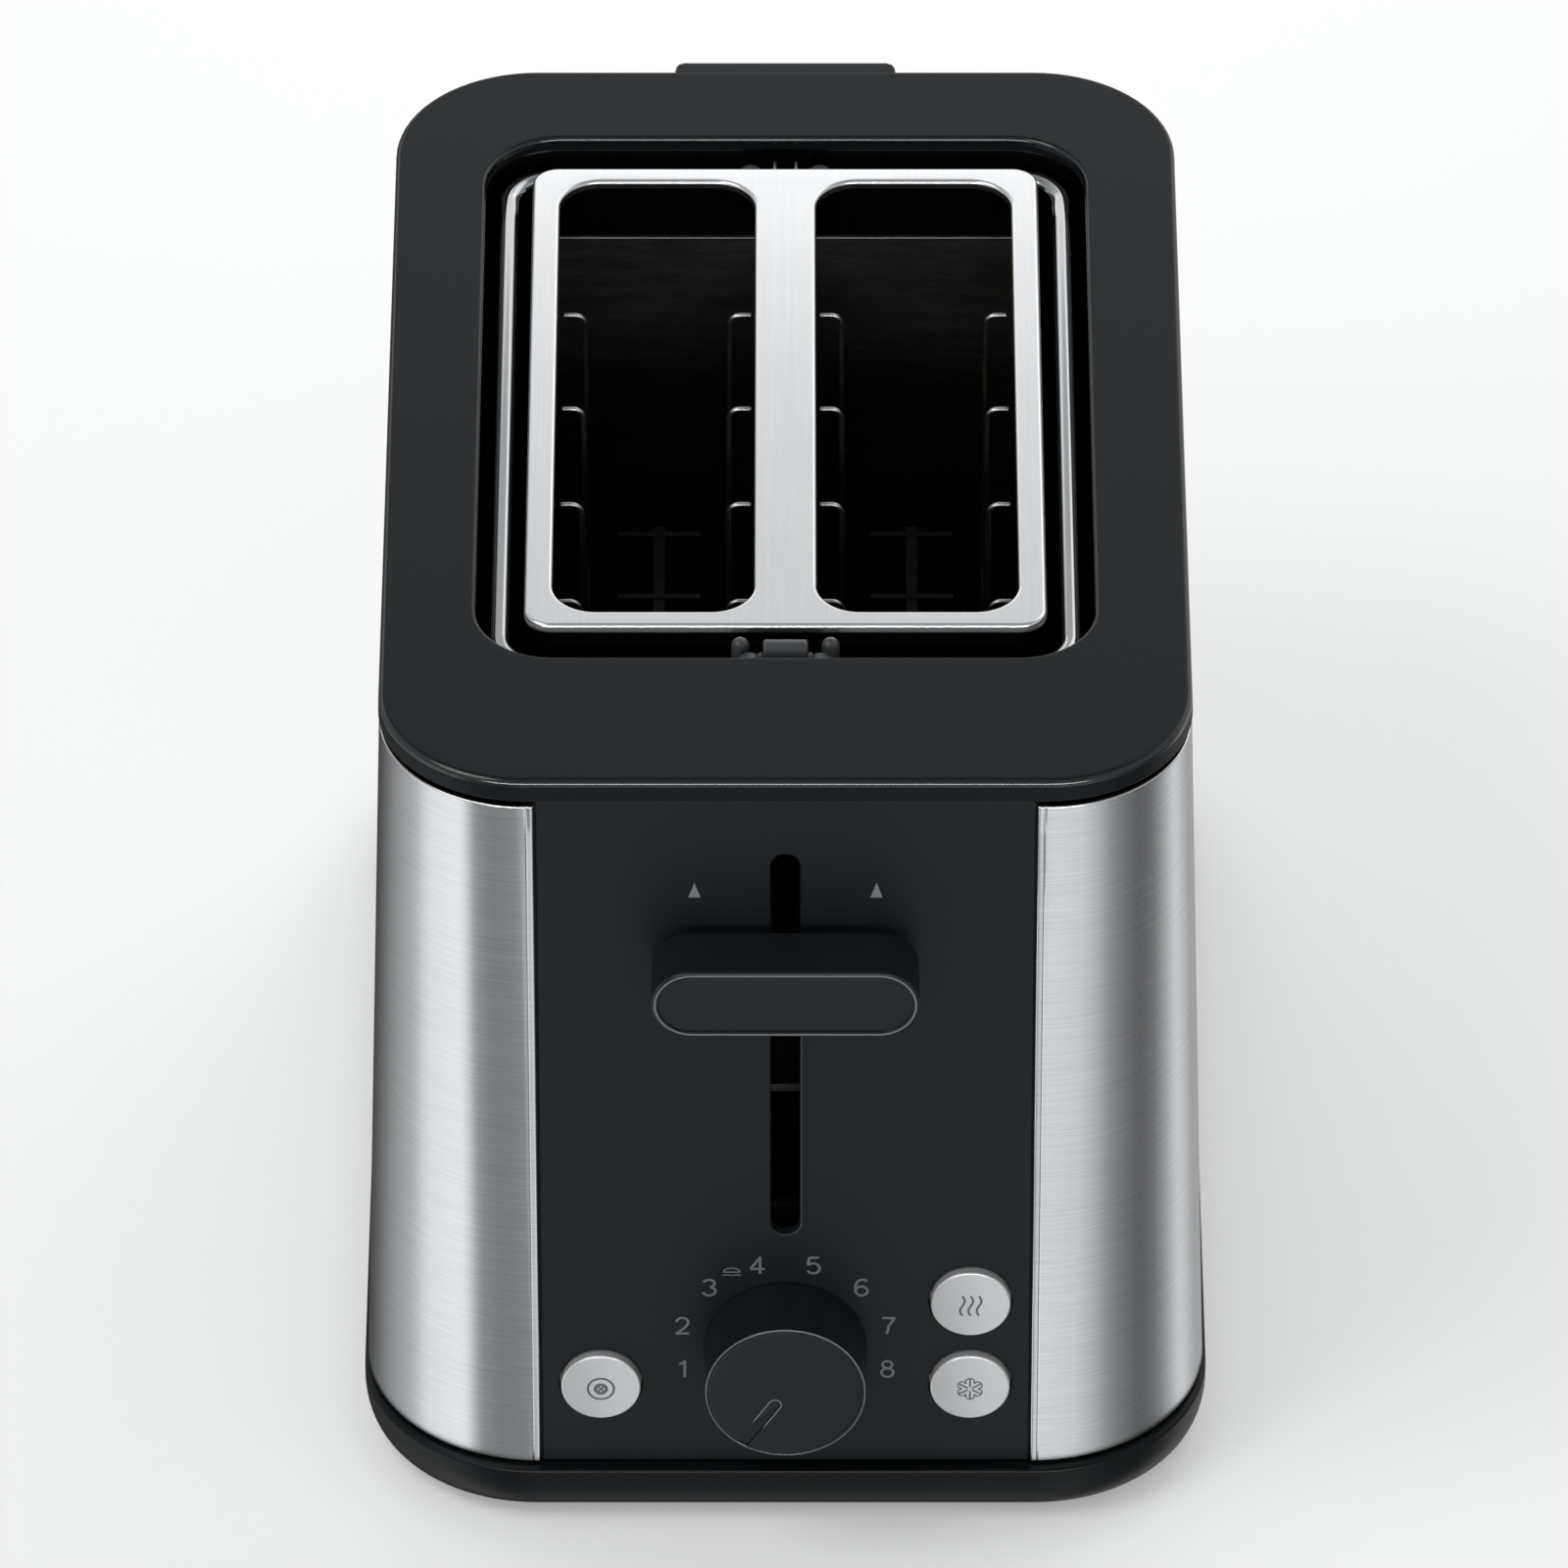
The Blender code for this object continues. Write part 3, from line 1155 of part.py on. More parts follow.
def make_rack_bracket(name, y, out, material):
    """Upright behind the bosses with a pin through each, a foot on the gutter's floor."""
    face = y + out * (BOSS_HALF + GAP)
    back = face + out * RACK_UPRIGHT
    near = y - out * BOSS_HALF
    inside = back - out * RACK_TUCK
    spread = RACK_PIVOT + RACK_BOSS
    low = WELL_FLOOR + GAP
    reach = sorted((face, back))
    foot_reach = sorted((inside, near))
    made = block(
        name, (-spread, reach[0], low), (spread, reach[1], RACK_HEIGHT + RACK_UPRIGHT_TOP),
        material=material,
    )
    foot_half = spread - RACK_EASE
    boolean(made, block(
        f"{name}_foot", (-foot_half, foot_reach[0], low + RACK_TUCK),
        (foot_half, foot_reach[1], RACK_HEIGHT - RACK_BOSS - RACK_EASE),
    ), "UNION")
    middle_half = RACK_PIVOT - RACK_BOSS - RACK_EASE
    boolean(made, block(
        f"{name}_middle", (-middle_half, foot_reach[0], low + RACK_EASE),
        (middle_half, foot_reach[1], RACK_HEIGHT + RACK_UPRIGHT_TOP - RACK_TUCK),
    ), "UNION")
    pin_length = abs(inside - near) - RACK_EASE
    for side in (-1, 1):
        boolean(made, cylinder(
            f"{name}_pin_{side}", RACK_PIN, pin_length,
            (side * RACK_PIVOT, inside - out * pin_length / 2, RACK_HEIGHT), ALONG_Y, sides=12,
        ), "UNION")


make_base()
make_feet()
make_screws()
make_shells()
make_front_panel()
make_rear_panel()
make_rear_spacer()
make_gland()
make_top_frame()
make_slot_well()
make_slot_plate()
make_chamber()
make_heaters()
make_guides()
make_carriage()
make_controls()
make_electrics()
make_crumb_tray()
make_rack()
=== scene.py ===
import json
import math

import bmesh
import bpy
from mathutils import Matrix, Vector


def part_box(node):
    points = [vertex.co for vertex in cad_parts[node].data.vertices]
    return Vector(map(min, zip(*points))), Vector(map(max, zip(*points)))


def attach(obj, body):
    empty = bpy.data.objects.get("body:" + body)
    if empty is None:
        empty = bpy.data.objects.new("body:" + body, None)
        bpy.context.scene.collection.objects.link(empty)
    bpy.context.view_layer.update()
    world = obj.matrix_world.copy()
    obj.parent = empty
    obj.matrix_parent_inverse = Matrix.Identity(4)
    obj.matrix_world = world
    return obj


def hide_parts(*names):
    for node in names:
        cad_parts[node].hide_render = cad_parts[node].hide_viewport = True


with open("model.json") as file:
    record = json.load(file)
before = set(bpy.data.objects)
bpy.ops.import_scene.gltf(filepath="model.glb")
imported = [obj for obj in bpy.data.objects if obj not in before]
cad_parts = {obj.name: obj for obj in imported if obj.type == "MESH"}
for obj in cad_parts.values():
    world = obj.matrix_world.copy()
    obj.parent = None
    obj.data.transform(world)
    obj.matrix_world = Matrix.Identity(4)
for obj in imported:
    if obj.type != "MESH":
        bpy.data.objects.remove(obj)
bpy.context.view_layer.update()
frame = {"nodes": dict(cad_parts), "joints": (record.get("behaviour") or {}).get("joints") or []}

mm = 0.001  # all lengths below are in millimetres


def cadBox(node):
    low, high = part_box(node)
    return low / mm, high / mm


joints = {joint["name"]: joint for joint in frame["joints"]}
knobCentre = Vector(joints["browning_turn"]["pos_m"]) / mm
intoFront = Vector(joints["browning_turn"]["axis"]).normalized()
endLean = math.asin(-intoFront.z)
shellLow, shellHigh = cadBox("right_shell")
rimLow, rimHigh = cadBox("top_frame")
wellLow, wellHigh = cadBox("slot_well")
plateLow, plateHigh = cadBox("slot_plate")
baseLow, baseHigh = cadBox("base")
top = rimHigh.z
middleY = (shellLow.y + shellHigh.y) / 2

housing = {
    "sideLean": math.radians(1.67),
    "cornerTop": 30.0,
    "cornerGrowth": 0.039,  # gained for each millimetre down
    "cornerSteps": 18,
}


def halfWidth(z):
    return shellHigh.x - (z - shellLow.z) * math.tan(housing["sideLean"])


def halfLength(z):
    return shellHigh.y - middleY - (z - shellLow.z) * math.tan(endLean)


def cornerRadius(z):
    return housing["cornerTop"] + (top - z) * housing["cornerGrowth"]


def leaningPlace(origin, facing):  # x across, y into the end, z up along it; facing is 1 at the front
    return Matrix.Translation(origin) @ Matrix((
        (facing, 0, 0, 0),
        (0, facing * math.cos(endLean), facing * math.sin(endLean), 0),
        (0, -math.sin(endLean), math.cos(endLean), 0),
        (0, 0, 0, 1),
    ))


frontPlace = leaningPlace(knobCentre, 1)  # its origin is the middle of the knob
rearPlace = leaningPlace((0, middleY + halfLength(knobCentre.z), knobCentre.z), -1)


def upFront(z):  # a height as a distance along the leaning front
    return (z - knobCentre.z) / math.cos(endLean)


view = {
    "distance": 3150.0,
    "elevation": math.radians(38.4),
    "lens": 352.3,
    "side": -0.3,
    "dip": math.radians(0.011),
}


def makeCamera():
    data = bpy.data.cameras.new("camera")
    data.lens = view["lens"]
    data.sensor_width = 36
    data.clip_start, data.clip_end = 0.1, 50
    camera = bpy.data.objects.new("camera", data)
    bpy.context.scene.collection.objects.link(camera)
    aim = Vector((view["side"], knobCentre.y + (top - knobCentre.z) * math.tan(endLean), top))
    turn = view["elevation"]
    camera.location = (aim + view["distance"] * Vector((0, -math.cos(turn), math.sin(turn)))) * mm
    camera.rotation_euler = (math.pi / 2 - turn - view["dip"], 0, 0)
    bpy.context.scene.camera = camera


makeCamera()


class Wire:  # an output socket; the operators add Math nodes behind it
    def __init__(self, nodes, socket):
        self.nodes, self.socket = nodes, socket

    def __getitem__(self, name):
        return Wire(self.nodes, self.socket.node.outputs[name])

    def __add__(self, other):
        return self.nodes.maths("ADD", self, other)

    def __sub__(self, other):
        return self.nodes.maths("SUBTRACT", self, other)

    def __rsub__(self, other):
        return self.nodes.maths("SUBTRACT", other, self)

    def __mul__(self, other):
        return self.nodes.maths("MULTIPLY", self, other)

    def __truediv__(self, other):
        return self.nodes.maths("DIVIDE", self, other)

    def __rtruediv__(self, other):
        return self.nodes.maths("DIVIDE", other, self)

    def __neg__(self):
        return self.nodes.maths("MULTIPLY", self, -1)

    __radd__, __rmul__ = __add__, __mul__


class Nodes:  # the node tree of a material or the world
    def __init__(self, tree):
        self.tree = tree
        tree.nodes.clear()

    def node(self, kind, settings=None, sockets=None, output=0):
        made = self.tree.nodes.new(kind)
        for name, value in (settings or {}).items():
            if name == "stops":
                self.setStops(made.color_ramp, value)
            else:
                setattr(made, name, value)
        for name, value in (sockets or {}).items():
            if isinstance(value, Wire):
                self.tree.links.new(value.socket, made.inputs[name])
            else:
                made.inputs[name].default_value = value
        return Wire(self, made.outputs[output]) if made.outputs else made

    def setStops(self, ramp, stops):
        while len(ramp.elements) < len(stops):
            ramp.elements.new(0.5)
        for element, (position, value) in zip(ramp.elements, stops):
            element.position = position
            element.color = (value, value, value, 1) if isinstance(value, float) else (*value, 1)

    def maths(self, operation, *values):
        return self.node("ShaderNodeMath", {"operation": operation}, dict(enumerate(values)))

    def millimetres(self, stretch=(1, 1, 1)):
        place = self.node("ShaderNodeTexCoord")["Object"]
        scale = [axis / mm for axis in stretch]
        return self.node("ShaderNodeVectorMath", {"operation": "MULTIPLY"}, {0: place, 1: scale})

    def noise(self, place, size, detail=2.0, roughness=0.5):
        sockets = {"Vector": place, "Scale": 1 / size, "Detail": detail, "Roughness": roughness}
        return self.node("ShaderNodeTexNoise", {}, sockets)

    def between(self, value, low, high):  # 0 at low, 1 at high, smooth
        return self.node("ShaderNodeMapRange", {"interpolation_type": "SMOOTHSTEP"},
                         {"Value": value, "From Min": low, "From Max": high})

    def blendColour(self, factor, first, second):
        first, second = (c if isinstance(c, Wire) else (*c, 1) for c in (first, second))
        return self.node("ShaderNodeMix", {"data_type": "RGBA"}, {0: factor, 6: first, 7: second}, 2)

    def bump(self, height, depth):  # depth in millimetres
        return self.node("ShaderNodeBump", {}, {"Height": height, "Distance": depth * mm, "Strength": 1.0})

    def surface(self, sockets):
        shader = self.node("ShaderNodeBsdfPrincipled", {}, sockets)
        self.node("ShaderNodeOutputMaterial", {}, {"Surface": shader})


studio = {
    "sides": (  # azimuth from the front, positive to the right, and light seen there
        (-180, 0.03), (-155, 0.07), (-135, 0.20), (-112, 0.46), (-95, 0.62), (-80, 1.16),
        (-50, 1.30), (-40, 0.36), (-25, 0.27), (-5, 0.30), (2, 1.02), (28, 0.92), (42, 0.66),
        (50, 0.42), (62, 0.26), (76, 0.15), (92, 0.22), (104, 0.50), (118, 1.00), (130, 0.72),
        (145, 0.42), (160, 0.50), (180, 0.03),
    ),
    "skyLow": 0.55,
    "skyBack": 0.77,
    "skyHigh": 0.30,
    "skyFrom": (-0.05, 0.2),  # height of a direction where the sides give way to the sky
    "backFrom": (0.35, 0.75),
    "highFrom": (0.72, 0.95),
    "tint": (0.98, 0.99, 1),
    "floorColour": (0.86, 0.865, 0.87),
    "floorGlow": 0.28,
    "background": 1.0,
    "keyPower": 7.0,
    "fillPower": 4.0,
    "stripPower": 42.0,
    "backPower": 0.45,
}


def makeWorld():
    world = bpy.data.worlds.new("studio")
    bpy.context.scene.world = world
    world.use_nodes = True
    nodes = Nodes(world.node_tree)
    towards = nodes.node("ShaderNodeSeparateXYZ", {}, {0: nodes.node("ShaderNodeTexCoord")["Generated"]})
    x, y, z = towards["X"], towards["Y"], towards["Z"]
    turn = nodes.maths("ARCTAN2", x, -y) / (2 * math.pi) + 0.5
    stops = [(angle / 360 + 0.5, light) for angle, light in studio["sides"]]
    low = nodes.node("ShaderNodeValToRGB", {"stops": stops}, {0: turn})
    back = nodes.between(y, *studio["backFrom"])
    sky = studio["skyLow"] + (studio["skyBack"] - studio["skyLow"]) * back
    high = nodes.between(z, *studio["highFrom"])
    sky = sky + (studio["skyHigh"] - sky) * high
    upper = nodes.between(z, *studio["skyFrom"])
    seen = low + (sky - low) * upper
    isCamera = nodes.node("ShaderNodeLightPath")["Is Camera Ray"]
    strength = seen + (studio["background"] - seen) * isCamera
    light = nodes.node("ShaderNodeBackground", {}, {"Color": (*studio["tint"], 1), "Strength": strength})
    nodes.node("ShaderNodeOutputWorld", {}, {"Surface": light})


def makeLight(name, place, aim, size, power, height=None, diffuse=True):
    data = bpy.data.lights.new(name, "AREA")
    data.shape, data.size, data.energy = "RECTANGLE" if height else "DISK", size, power
    data.size_y = height or size
    light = bpy.data.objects.new(name, data)
    light.location = place
    light.rotation_euler = (Vector(aim) - Vector(place)).to_track_quat("-Z", "Y").to_euler()
    light.visible_camera = False
    light.visible_diffuse = diffuse
    bpy.context.scene.collection.objects.link(light)


def makeFloor():
    material = bpy.data.materials.new("floor")
    material.use_nodes = True
    nodes = Nodes(material.node_tree)
    nodes.surface({"Base Color": (*studio["floorColour"], 1), "Roughness": 0.9,
                   "Specular IOR Level": 0.1, "Emission Color": (1, 1, 1, 1),
                   "Emission Strength": studio["floorGlow"]})
    bm = bmesh.new()
    bmesh.ops.create_grid(bm, x_segments=4, y_segments=4, size=6)
    mesh = bpy.data.meshes.new("floor")
    bm.to_mesh(mesh)
    bm.free()
    mesh.materials.append(material)
    floor = bpy.data.objects.new("floor", mesh)
    floor.visible_glossy = False
    bpy.context.scene.collection.objects.link(floor)


makeWorld()
makeLight("key", (-0.9, -0.5, 1.6), (0, 0, 0.1), 1.0, studio["keyPower"])
makeLight("fill", (0.9, 1.2, 1.5), (0, 0, 0.1), 1.2, studio["fillPower"])
makeLight("front strip", (0, -2.4, 0.95), (0, 0, 0.19), 2.6, studio["stripPower"], 0.22, False)
makeLight("back panel", (0, 0.575, 0.365), (0, 0.10, 0.19), 0.5, studio["backPower"], 0.34)
makeFloor()
bpy.context.scene.view_settings.view_transform = "Standard"
print("camera, light and floor made")


def openFinish(name):
    material = bpy.data.materials.new(name)
    material.use_nodes = True
    return material, Nodes(material.node_tree)


def mouldedPlastic(name, look):
    material, nodes = openFinish(name)
    place = nodes.millimetres()
    grain = nodes.noise(place, look["grain"], 3, 0.6)
    cloud = nodes.noise(place, look["cloud"], 3)
    darker = [part * (1 - look["mottle"]) for part in look["colour"]]
    lighter = [part * (1 + look["mottle"]) for part in look["colour"]]
    rough = look["roughness"] + (cloud - 0.5) * look["smudge"] + (grain - 0.5) * 0.06
    extra = {}
    if "polished" in look:  # heights between which an edge is rubbed smooth
        low, high = look["polished"]
        height = nodes.node("ShaderNodeSeparateXYZ", {}, {0: place})["Z"]
        polish = nodes.between(height, low - 0.3, low) * (1 - nodes.between(height, high, high + 0.25))
        rough = rough * (1 - polish * 0.62)
        extra = {"Coat Weight": polish, "Coat Roughness": 0.16}
    nodes.surface({
        **extra,
        "Base Color": nodes.blendColour(cloud * 0.7 + grain * 0.3, darker, lighter),
        "Roughness": rough,
        "Specular IOR Level": look["specular"],
        "Normal": nodes.bump(grain, look["depth"]),
    })
    return material


rimPlastic = {"polished": (top - 1.35, top - 0.3), "colour": (0.0068, 0.0096, 0.0116),
              "roughness": 0.42, "specular": 0.11, "grain": 0.32,
              "cloud": 26.0, "mottle": 0.10, "smudge": 0.07, "depth": 0.006}
panelPlastic = {"colour": (0.0082, 0.0116, 0.0142), "roughness": 0.5, "specular": 0.2, "grain": 0.26,
                "cloud": 40.0, "mottle": 0.08, "smudge": 0.06, "depth": 0.007}
knobPlastic = {"colour": (0.0082, 0.0116, 0.0145), "roughness": 0.36, "specular": 0.25, "grain": 0.22,
               "cloud": 14.0, "mottle": 0.08, "smudge": 0.05, "depth": 0.003}
basePlastic = {"colour": (0.0040, 0.0056, 0.0068), "roughness": 0.34, "specular": 0.15, "grain": 0.4,
               "cloud": 30.0, "mottle": 0.10, "smudge": 0.08, "depth": 0.004}
feetRubber = {"colour": (0.028, 0.028, 0.029), "roughness": 0.85, "specular": 0.2, "grain": 0.5,
              "cloud": 8.0, "mottle": 0.2, "smudge": 0.08, "depth": 0.02}
# grey colour of the hinge parts and rack pins, lighter than their satin black: painted light for the soft
# light falling on them
hingePlastic = {"colour": (0.060, 0.068, 0.074), "roughness": 0.38, "specular": 0.5, "grain": 0.25,
                "cloud": 6.0, "mottle": 0.08, "smudge": 0.05, "depth": 0.003}
terminalPlastic = {"colour": (0.60, 0.57, 0.50), "roughness": 0.5, "specular": 0.4, "grain": 0.3,
                   "cloud": 9.0, "mottle": 0.05, "smudge": 0.06, "depth": 0.005}


def glossPlastic(name, look):
    material, nodes = openFinish(name)
    place = nodes.millimetres()
    cloud = nodes.noise(place, look["cloud"], 4, 0.6)
    dust = nodes.between(nodes.noise(place, look["dust"], 2), 0.72, 0.80)
    nodes.surface({
        "Base Color": nodes.blendColour(dust * 0.5, look["colour"], look["dustColour"]),
        "Roughness": look["roughness"] + cloud * look["smudge"] + dust * 0.2,
        "Specular IOR Level": 0.5,
        "Coat Weight": 0.6,
        "Coat Roughness": 0.04,
        "Normal": nodes.bump(cloud, look["wave"]),
    })
    return material


# grey colour of the gutter ribs, lighter than the black gutter: painted sheen for the soft band of light
# along each side; the dust is real
ribPlastic = {"colour": (0.050, 0.053, 0.056), "dustColour": (0.07, 0.071, 0.072), "roughness": 0.30,
              "cloud": 16.0, "dust": 1.1, "smudge": 0.05, "wave": 0.01}
wellPlastic = {"colour": (0.0020, 0.0023, 0.0028), "dustColour": (0.02, 0.021, 0.022), "roughness": 0.07,
               "cloud": 16.0, "dust": 1.1, "smudge": 0.05, "wave": 0.02}


def brushedMetal(name, look):
    material, nodes = openFinish(name)
    fine = nodes.noise(nodes.millimetres(look["fine"]), 1, 3, 0.65)
    long = nodes.noise(nodes.millimetres(look["long"]), 1, 2, 0.6)
    cloud = nodes.noise(nodes.millimetres(), look["cloud"], 3)
    streak = fine * 0.6 + long * 0.4
    shade = nodes.between(streak + (cloud - 0.5) * 0.15, 0.3, 0.7)
    nodes.surface({
        "Base Color": nodes.blendColour(shade, look["dark"], look["light"]),
        "Metallic": 1.0,
        "Roughness": look["roughness"] + (streak - 0.5) * look["vary"] + (cloud - 0.5) * 0.04,
        "Anisotropic": look["anisotropy"],
        "Anisotropic Rotation": look["turn"],
        "Normal": nodes.bump(streak, look["depth"]),
    })
    return material


shellSteel = {"dark": (0.55, 0.565, 0.58), "light": (0.70, 0.71, 0.72), "roughness": 0.21, "vary": 0.07,
              "anisotropy": 0.75, "turn": 0.25, "depth": 0.0005, "fine": (0.12, 0.12, 12.0),
              "long": (0.03, 0.03, 6.5), "cloud": 60.0}
plateSteel = {"dark": (0.69, 0.70, 0.71), "light": (0.73, 0.74, 0.75), "roughness": 0.24, "vary": 0.05,
              "anisotropy": 0.3, "turn": 0.0, "depth": 0.0004, "fine": (7.0, 0.06, 0.4),
              "long": (1.6, 0.015, 0.1), "cloud": 30.0}
innerSteel = {"dark": (0.10, 0.10, 0.095), "light": (0.17, 0.17, 0.16), "roughness": 0.42, "vary": 0.12,
              "anisotropy": 0.2, "turn": 0.0, "depth": 0.002, "fine": (0.3, 0.3, 3.0),
              "long": (0.05, 0.05, 0.4), "cloud": 14.0}
# very dark steel for the front bulkhead, lever stem, carriage and rod bracket, the parts seen through the
# lever slot: painted shade
steelDarkenedAsShade = {"dark": (0.005, 0.005, 0.006), "light": (0.010, 0.010, 0.011), "roughness": 0.6,
                  "vary": 0.12, "anisotropy": 0.1, "turn": 0.0, "depth": 0.002, "fine": (0.3, 0.3, 3.0),
                  "long": (0.05, 0.05, 0.4), "cloud": 10.0}
turnedSteel = {"dark": (0.48, 0.48, 0.48), "light": (0.60, 0.60, 0.60), "roughness": 0.3, "vary": 0.1,
               "anisotropy": 0.2, "turn": 0.0, "depth": 0.001, "fine": (6.0, 6.0, 0.4),
               "long": (1.0, 1.0, 0.1), "cloud": 10.0}


def platedWire(name, look):  # bright plating, darker and browner below a given height
    material, nodes = openFinish(name)
    place = nodes.millimetres()
    height = nodes.node("ShaderNodeSeparateXYZ", {}, {0: place})["Z"]
    cloud = nodes.noise(place, look["cloud"], 4, 0.6)
    belowShare = (1 - nodes.between(height, look["coolLow"], look["coolHigh"])) * (0.6 + cloud * 0.8)
    nodes.surface({
        "Base Color": nodes.blendColour(nodes.maths("MINIMUM", belowShare, 1), look["colour"], look["burnt"]),
        "Metallic": 1.0,
        "Roughness": look["roughness"] + cloud * 0.12 + belowShare * 0.12,
        "Normal": nodes.bump(nodes.noise(place, 0.3, 2), 0.003),
    })
    return material


guideWire = {"colour": (0.42, 0.43, 0.42), "burnt": (0.16, 0.155, 0.085), "roughness": 0.2, "cloud": 5.0,
             "coolLow": 160.0, "coolHigh": 173.0}
rackWire = {"colour": (0.40, 0.41, 0.42), "burnt": (0.34, 0.335, 0.32), "roughness": 0.05, "cloud": 12.0,
            "coolLow": 0.0, "coolHigh": 1.0}


def satinPaint(name, look):  # silver lacquer with a fine flake
    material, nodes = openFinish(name)
    place = nodes.millimetres()
    flake = nodes.node("ShaderNodeTexVoronoi", {}, {"Vector": place, "Scale": 1 / look["flake"]})["Color"]
    tone = nodes.node("ShaderNodeSeparateXYZ", {}, {0: flake})["X"]
    cloud = nodes.noise(place, 5, 3)
    nodes.surface({
        "Base Color": nodes.blendColour(tone * 0.5 + cloud * 0.5, look["dark"], look["light"]),
        "Metallic": look["metallic"],
        "Roughness": look["roughness"] + (tone - 0.5) * 0.12,
        "Coat Weight": 0.25,
        "Coat Roughness": 0.2,
        "Normal": nodes.bump(tone, 0.002),
    })
    return material


buttonPaint = {"dark": (0.60, 0.61, 0.62), "light": (0.74, 0.75, 0.76), "metallic": 0.45,
               "roughness": 0.36, "flake": 0.12}
# lacquer for the pointer groove's outline and for the ring on the knob's rim edge, which is a painted
# highlight
knobLineAndHighlightPaint = {"dark": (0.20, 0.21, 0.22), "light": (0.28, 0.29, 0.30), "metallic": 0.5,
             "roughness": 0.25, "flake": 0.15}
# grey line round the lever knob's face, partly a trim line and partly a painted highlight of the face's
# edge
trimLineAndHighlightPaint = {"dark": (0.16, 0.165, 0.17), "light": (0.22, 0.225, 0.23), "metallic": 0.6,
             "roughness": 0.3, "flake": 0.15}


def micaSheet(name, look):
    material, nodes = openFinish(name)
    place = nodes.millimetres((0.4, 1, 1))
    flakes = nodes.node("ShaderNodeTexVoronoi", {"feature": "SMOOTH_F1"},
                        {"Vector": place, "Scale": 1 / look["flake"], "Smoothness": 0.6})
    cloud = nodes.noise(place, 18, 4, 0.6)
    tone = flakes * 0.6 + cloud * 0.4
    nodes.surface({
        "Base Color": nodes.blendColour(tone, look["dark"], look["light"]),
        "Roughness": 0.35 + tone * 0.3,
        "Normal": nodes.bump(tone, 0.03),
    })
    return material


micaLook = {"dark": (0.030, 0.026, 0.020), "light": (0.075, 0.065, 0.048), "flake": 4.0}


def hotRibbon(name, look):
    material, nodes = openFinish(name)
    place = nodes.millimetres()
    scale = nodes.noise(place, 1.4, 4, 0.7)
    nodes.surface({
        "Base Color": nodes.blendColour(scale, look["dark"], look["light"]),
        "Metallic": 0.8,
        "Roughness": 0.4 + scale * 0.3,
        "Normal": nodes.bump(scale, 0.01),
    })
    return material


ribbonLook = {"dark": (0.05, 0.045, 0.045), "light": (0.16, 0.15, 0.15)}
coilLook = {"dark": (0.30, 0.10, 0.035), "light": (0.52, 0.22, 0.09)}


def circuitLaminate(name, look):
    material, nodes = openFinish(name)
    place = nodes.millimetres()
    tracks = nodes.node("ShaderNodeTexBrick", {"offset": 0.35, "squash": 0.7}, {
        "Vector": nodes.node("ShaderNodeVectorMath", {"operation": "MULTIPLY"}, {0: place, 1: (1, 0, 1)}),
        "Scale": 0.16, "Mortar Size": 0.05, "Mortar Smooth": 0.2})["Fac"]
    nodes.surface({
        "Base Color": nodes.blendColour(tracks, look["mask"], look["track"]),
        "Roughness": 0.3 + nodes.noise(place, 3, 2) * 0.2,
        "Normal": nodes.bump(tracks, 0.03),
    })
    return material


# mask and track colours darkened to near black, far below a board's own green: painted shade inside the
# lever slot
laminateLook = {"mask": (0.0015, 0.010, 0.005), "track": (0.004, 0.022, 0.010)}


def printInk(name, look):
    material, nodes = openFinish(name)
    cover = nodes.noise(nodes.millimetres(), 0.25, 3)
    nodes.surface({
        "Base Color": nodes.blendColour(cover, look["thin"], look["full"]),
        "Roughness": 0.5 + cover * 0.15,
        "Specular IOR Level": 0.2,
    })
    return material


scaleInk = {"thin": (0.15, 0.16, 0.17), "full": (0.22, 0.23, 0.24)}
arrowInk = {"thin": (0.22, 0.23, 0.24), "full": (0.30, 0.31, 0.32)}
# lighter stroke on the lever slot's right side and lower right corner: painted highlight along the slot's
# lip
slotLipHighlightInk = {"thin": (0.055, 0.06, 0.065), "full": (0.08, 0.085, 0.09)}
iconInk = {"thin": (0.13, 0.135, 0.14), "full": (0.17, 0.175, 0.18)}

finishes = {
    "rim": mouldedPlastic("satin rim plastic", rimPlastic),
    "panel": mouldedPlastic("fine grained panel plastic", panelPlastic),
    "knob": mouldedPlastic("satin knob plastic", knobPlastic),
    "base": mouldedPlastic("base plastic", basePlastic),
    "rubber": mouldedPlastic("foot rubber", feetRubber),
    "hinge": mouldedPlastic("hinge plastic", hingePlastic),
    "terminal": mouldedPlastic("cream terminal plastic", terminalPlastic),
    "well": glossPlastic("polished black plastic", wellPlastic),
    "rib": glossPlastic("gutter rib grey for painted sheen", ribPlastic),
    "shell": brushedMetal("brushed shell steel", shellSteel),
    "plate": brushedMetal("satin plate steel", plateSteel),
    "inner": brushedMetal("chamber steel", innerSteel),
    "blackened": brushedMetal("steel darkened for painted shade", steelDarkenedAsShade),
    "turned": brushedMetal("turned steel", turnedSteel),
    "guide": platedWire("plated guide wire", guideWire),
    "rack": platedWire("chromed rack wire", rackWire),
    "lifter": brushedMetal("lifter steel", innerSteel),
    "trim": satinPaint("trim lacquer with painted edge highlight", trimLineAndHighlightPaint),
    "line": satinPaint("knob line lacquer and painted rim highlight", knobLineAndHighlightPaint),
    "button": satinPaint("silver button lacquer", buttonPaint),
    "mica": micaSheet("smoked mica", micaLook),
    "ribbon": hotRibbon("oxidised heating ribbon", ribbonLook),
    "coil": hotRibbon("enamelled coil", coilLook),
    "laminate": circuitLaminate("circuit laminate", laminateLook),
    "scaleInk": printInk("grey scale print", scaleInk),
    "arrowInk": printInk("light arrow print", arrowInk),
    "slotLip": printInk("slot lip painted highlight", slotLipHighlightInk),
    "iconInk": printInk("dark icon print", iconInk),
}
print("finishes made:", len(finishes))


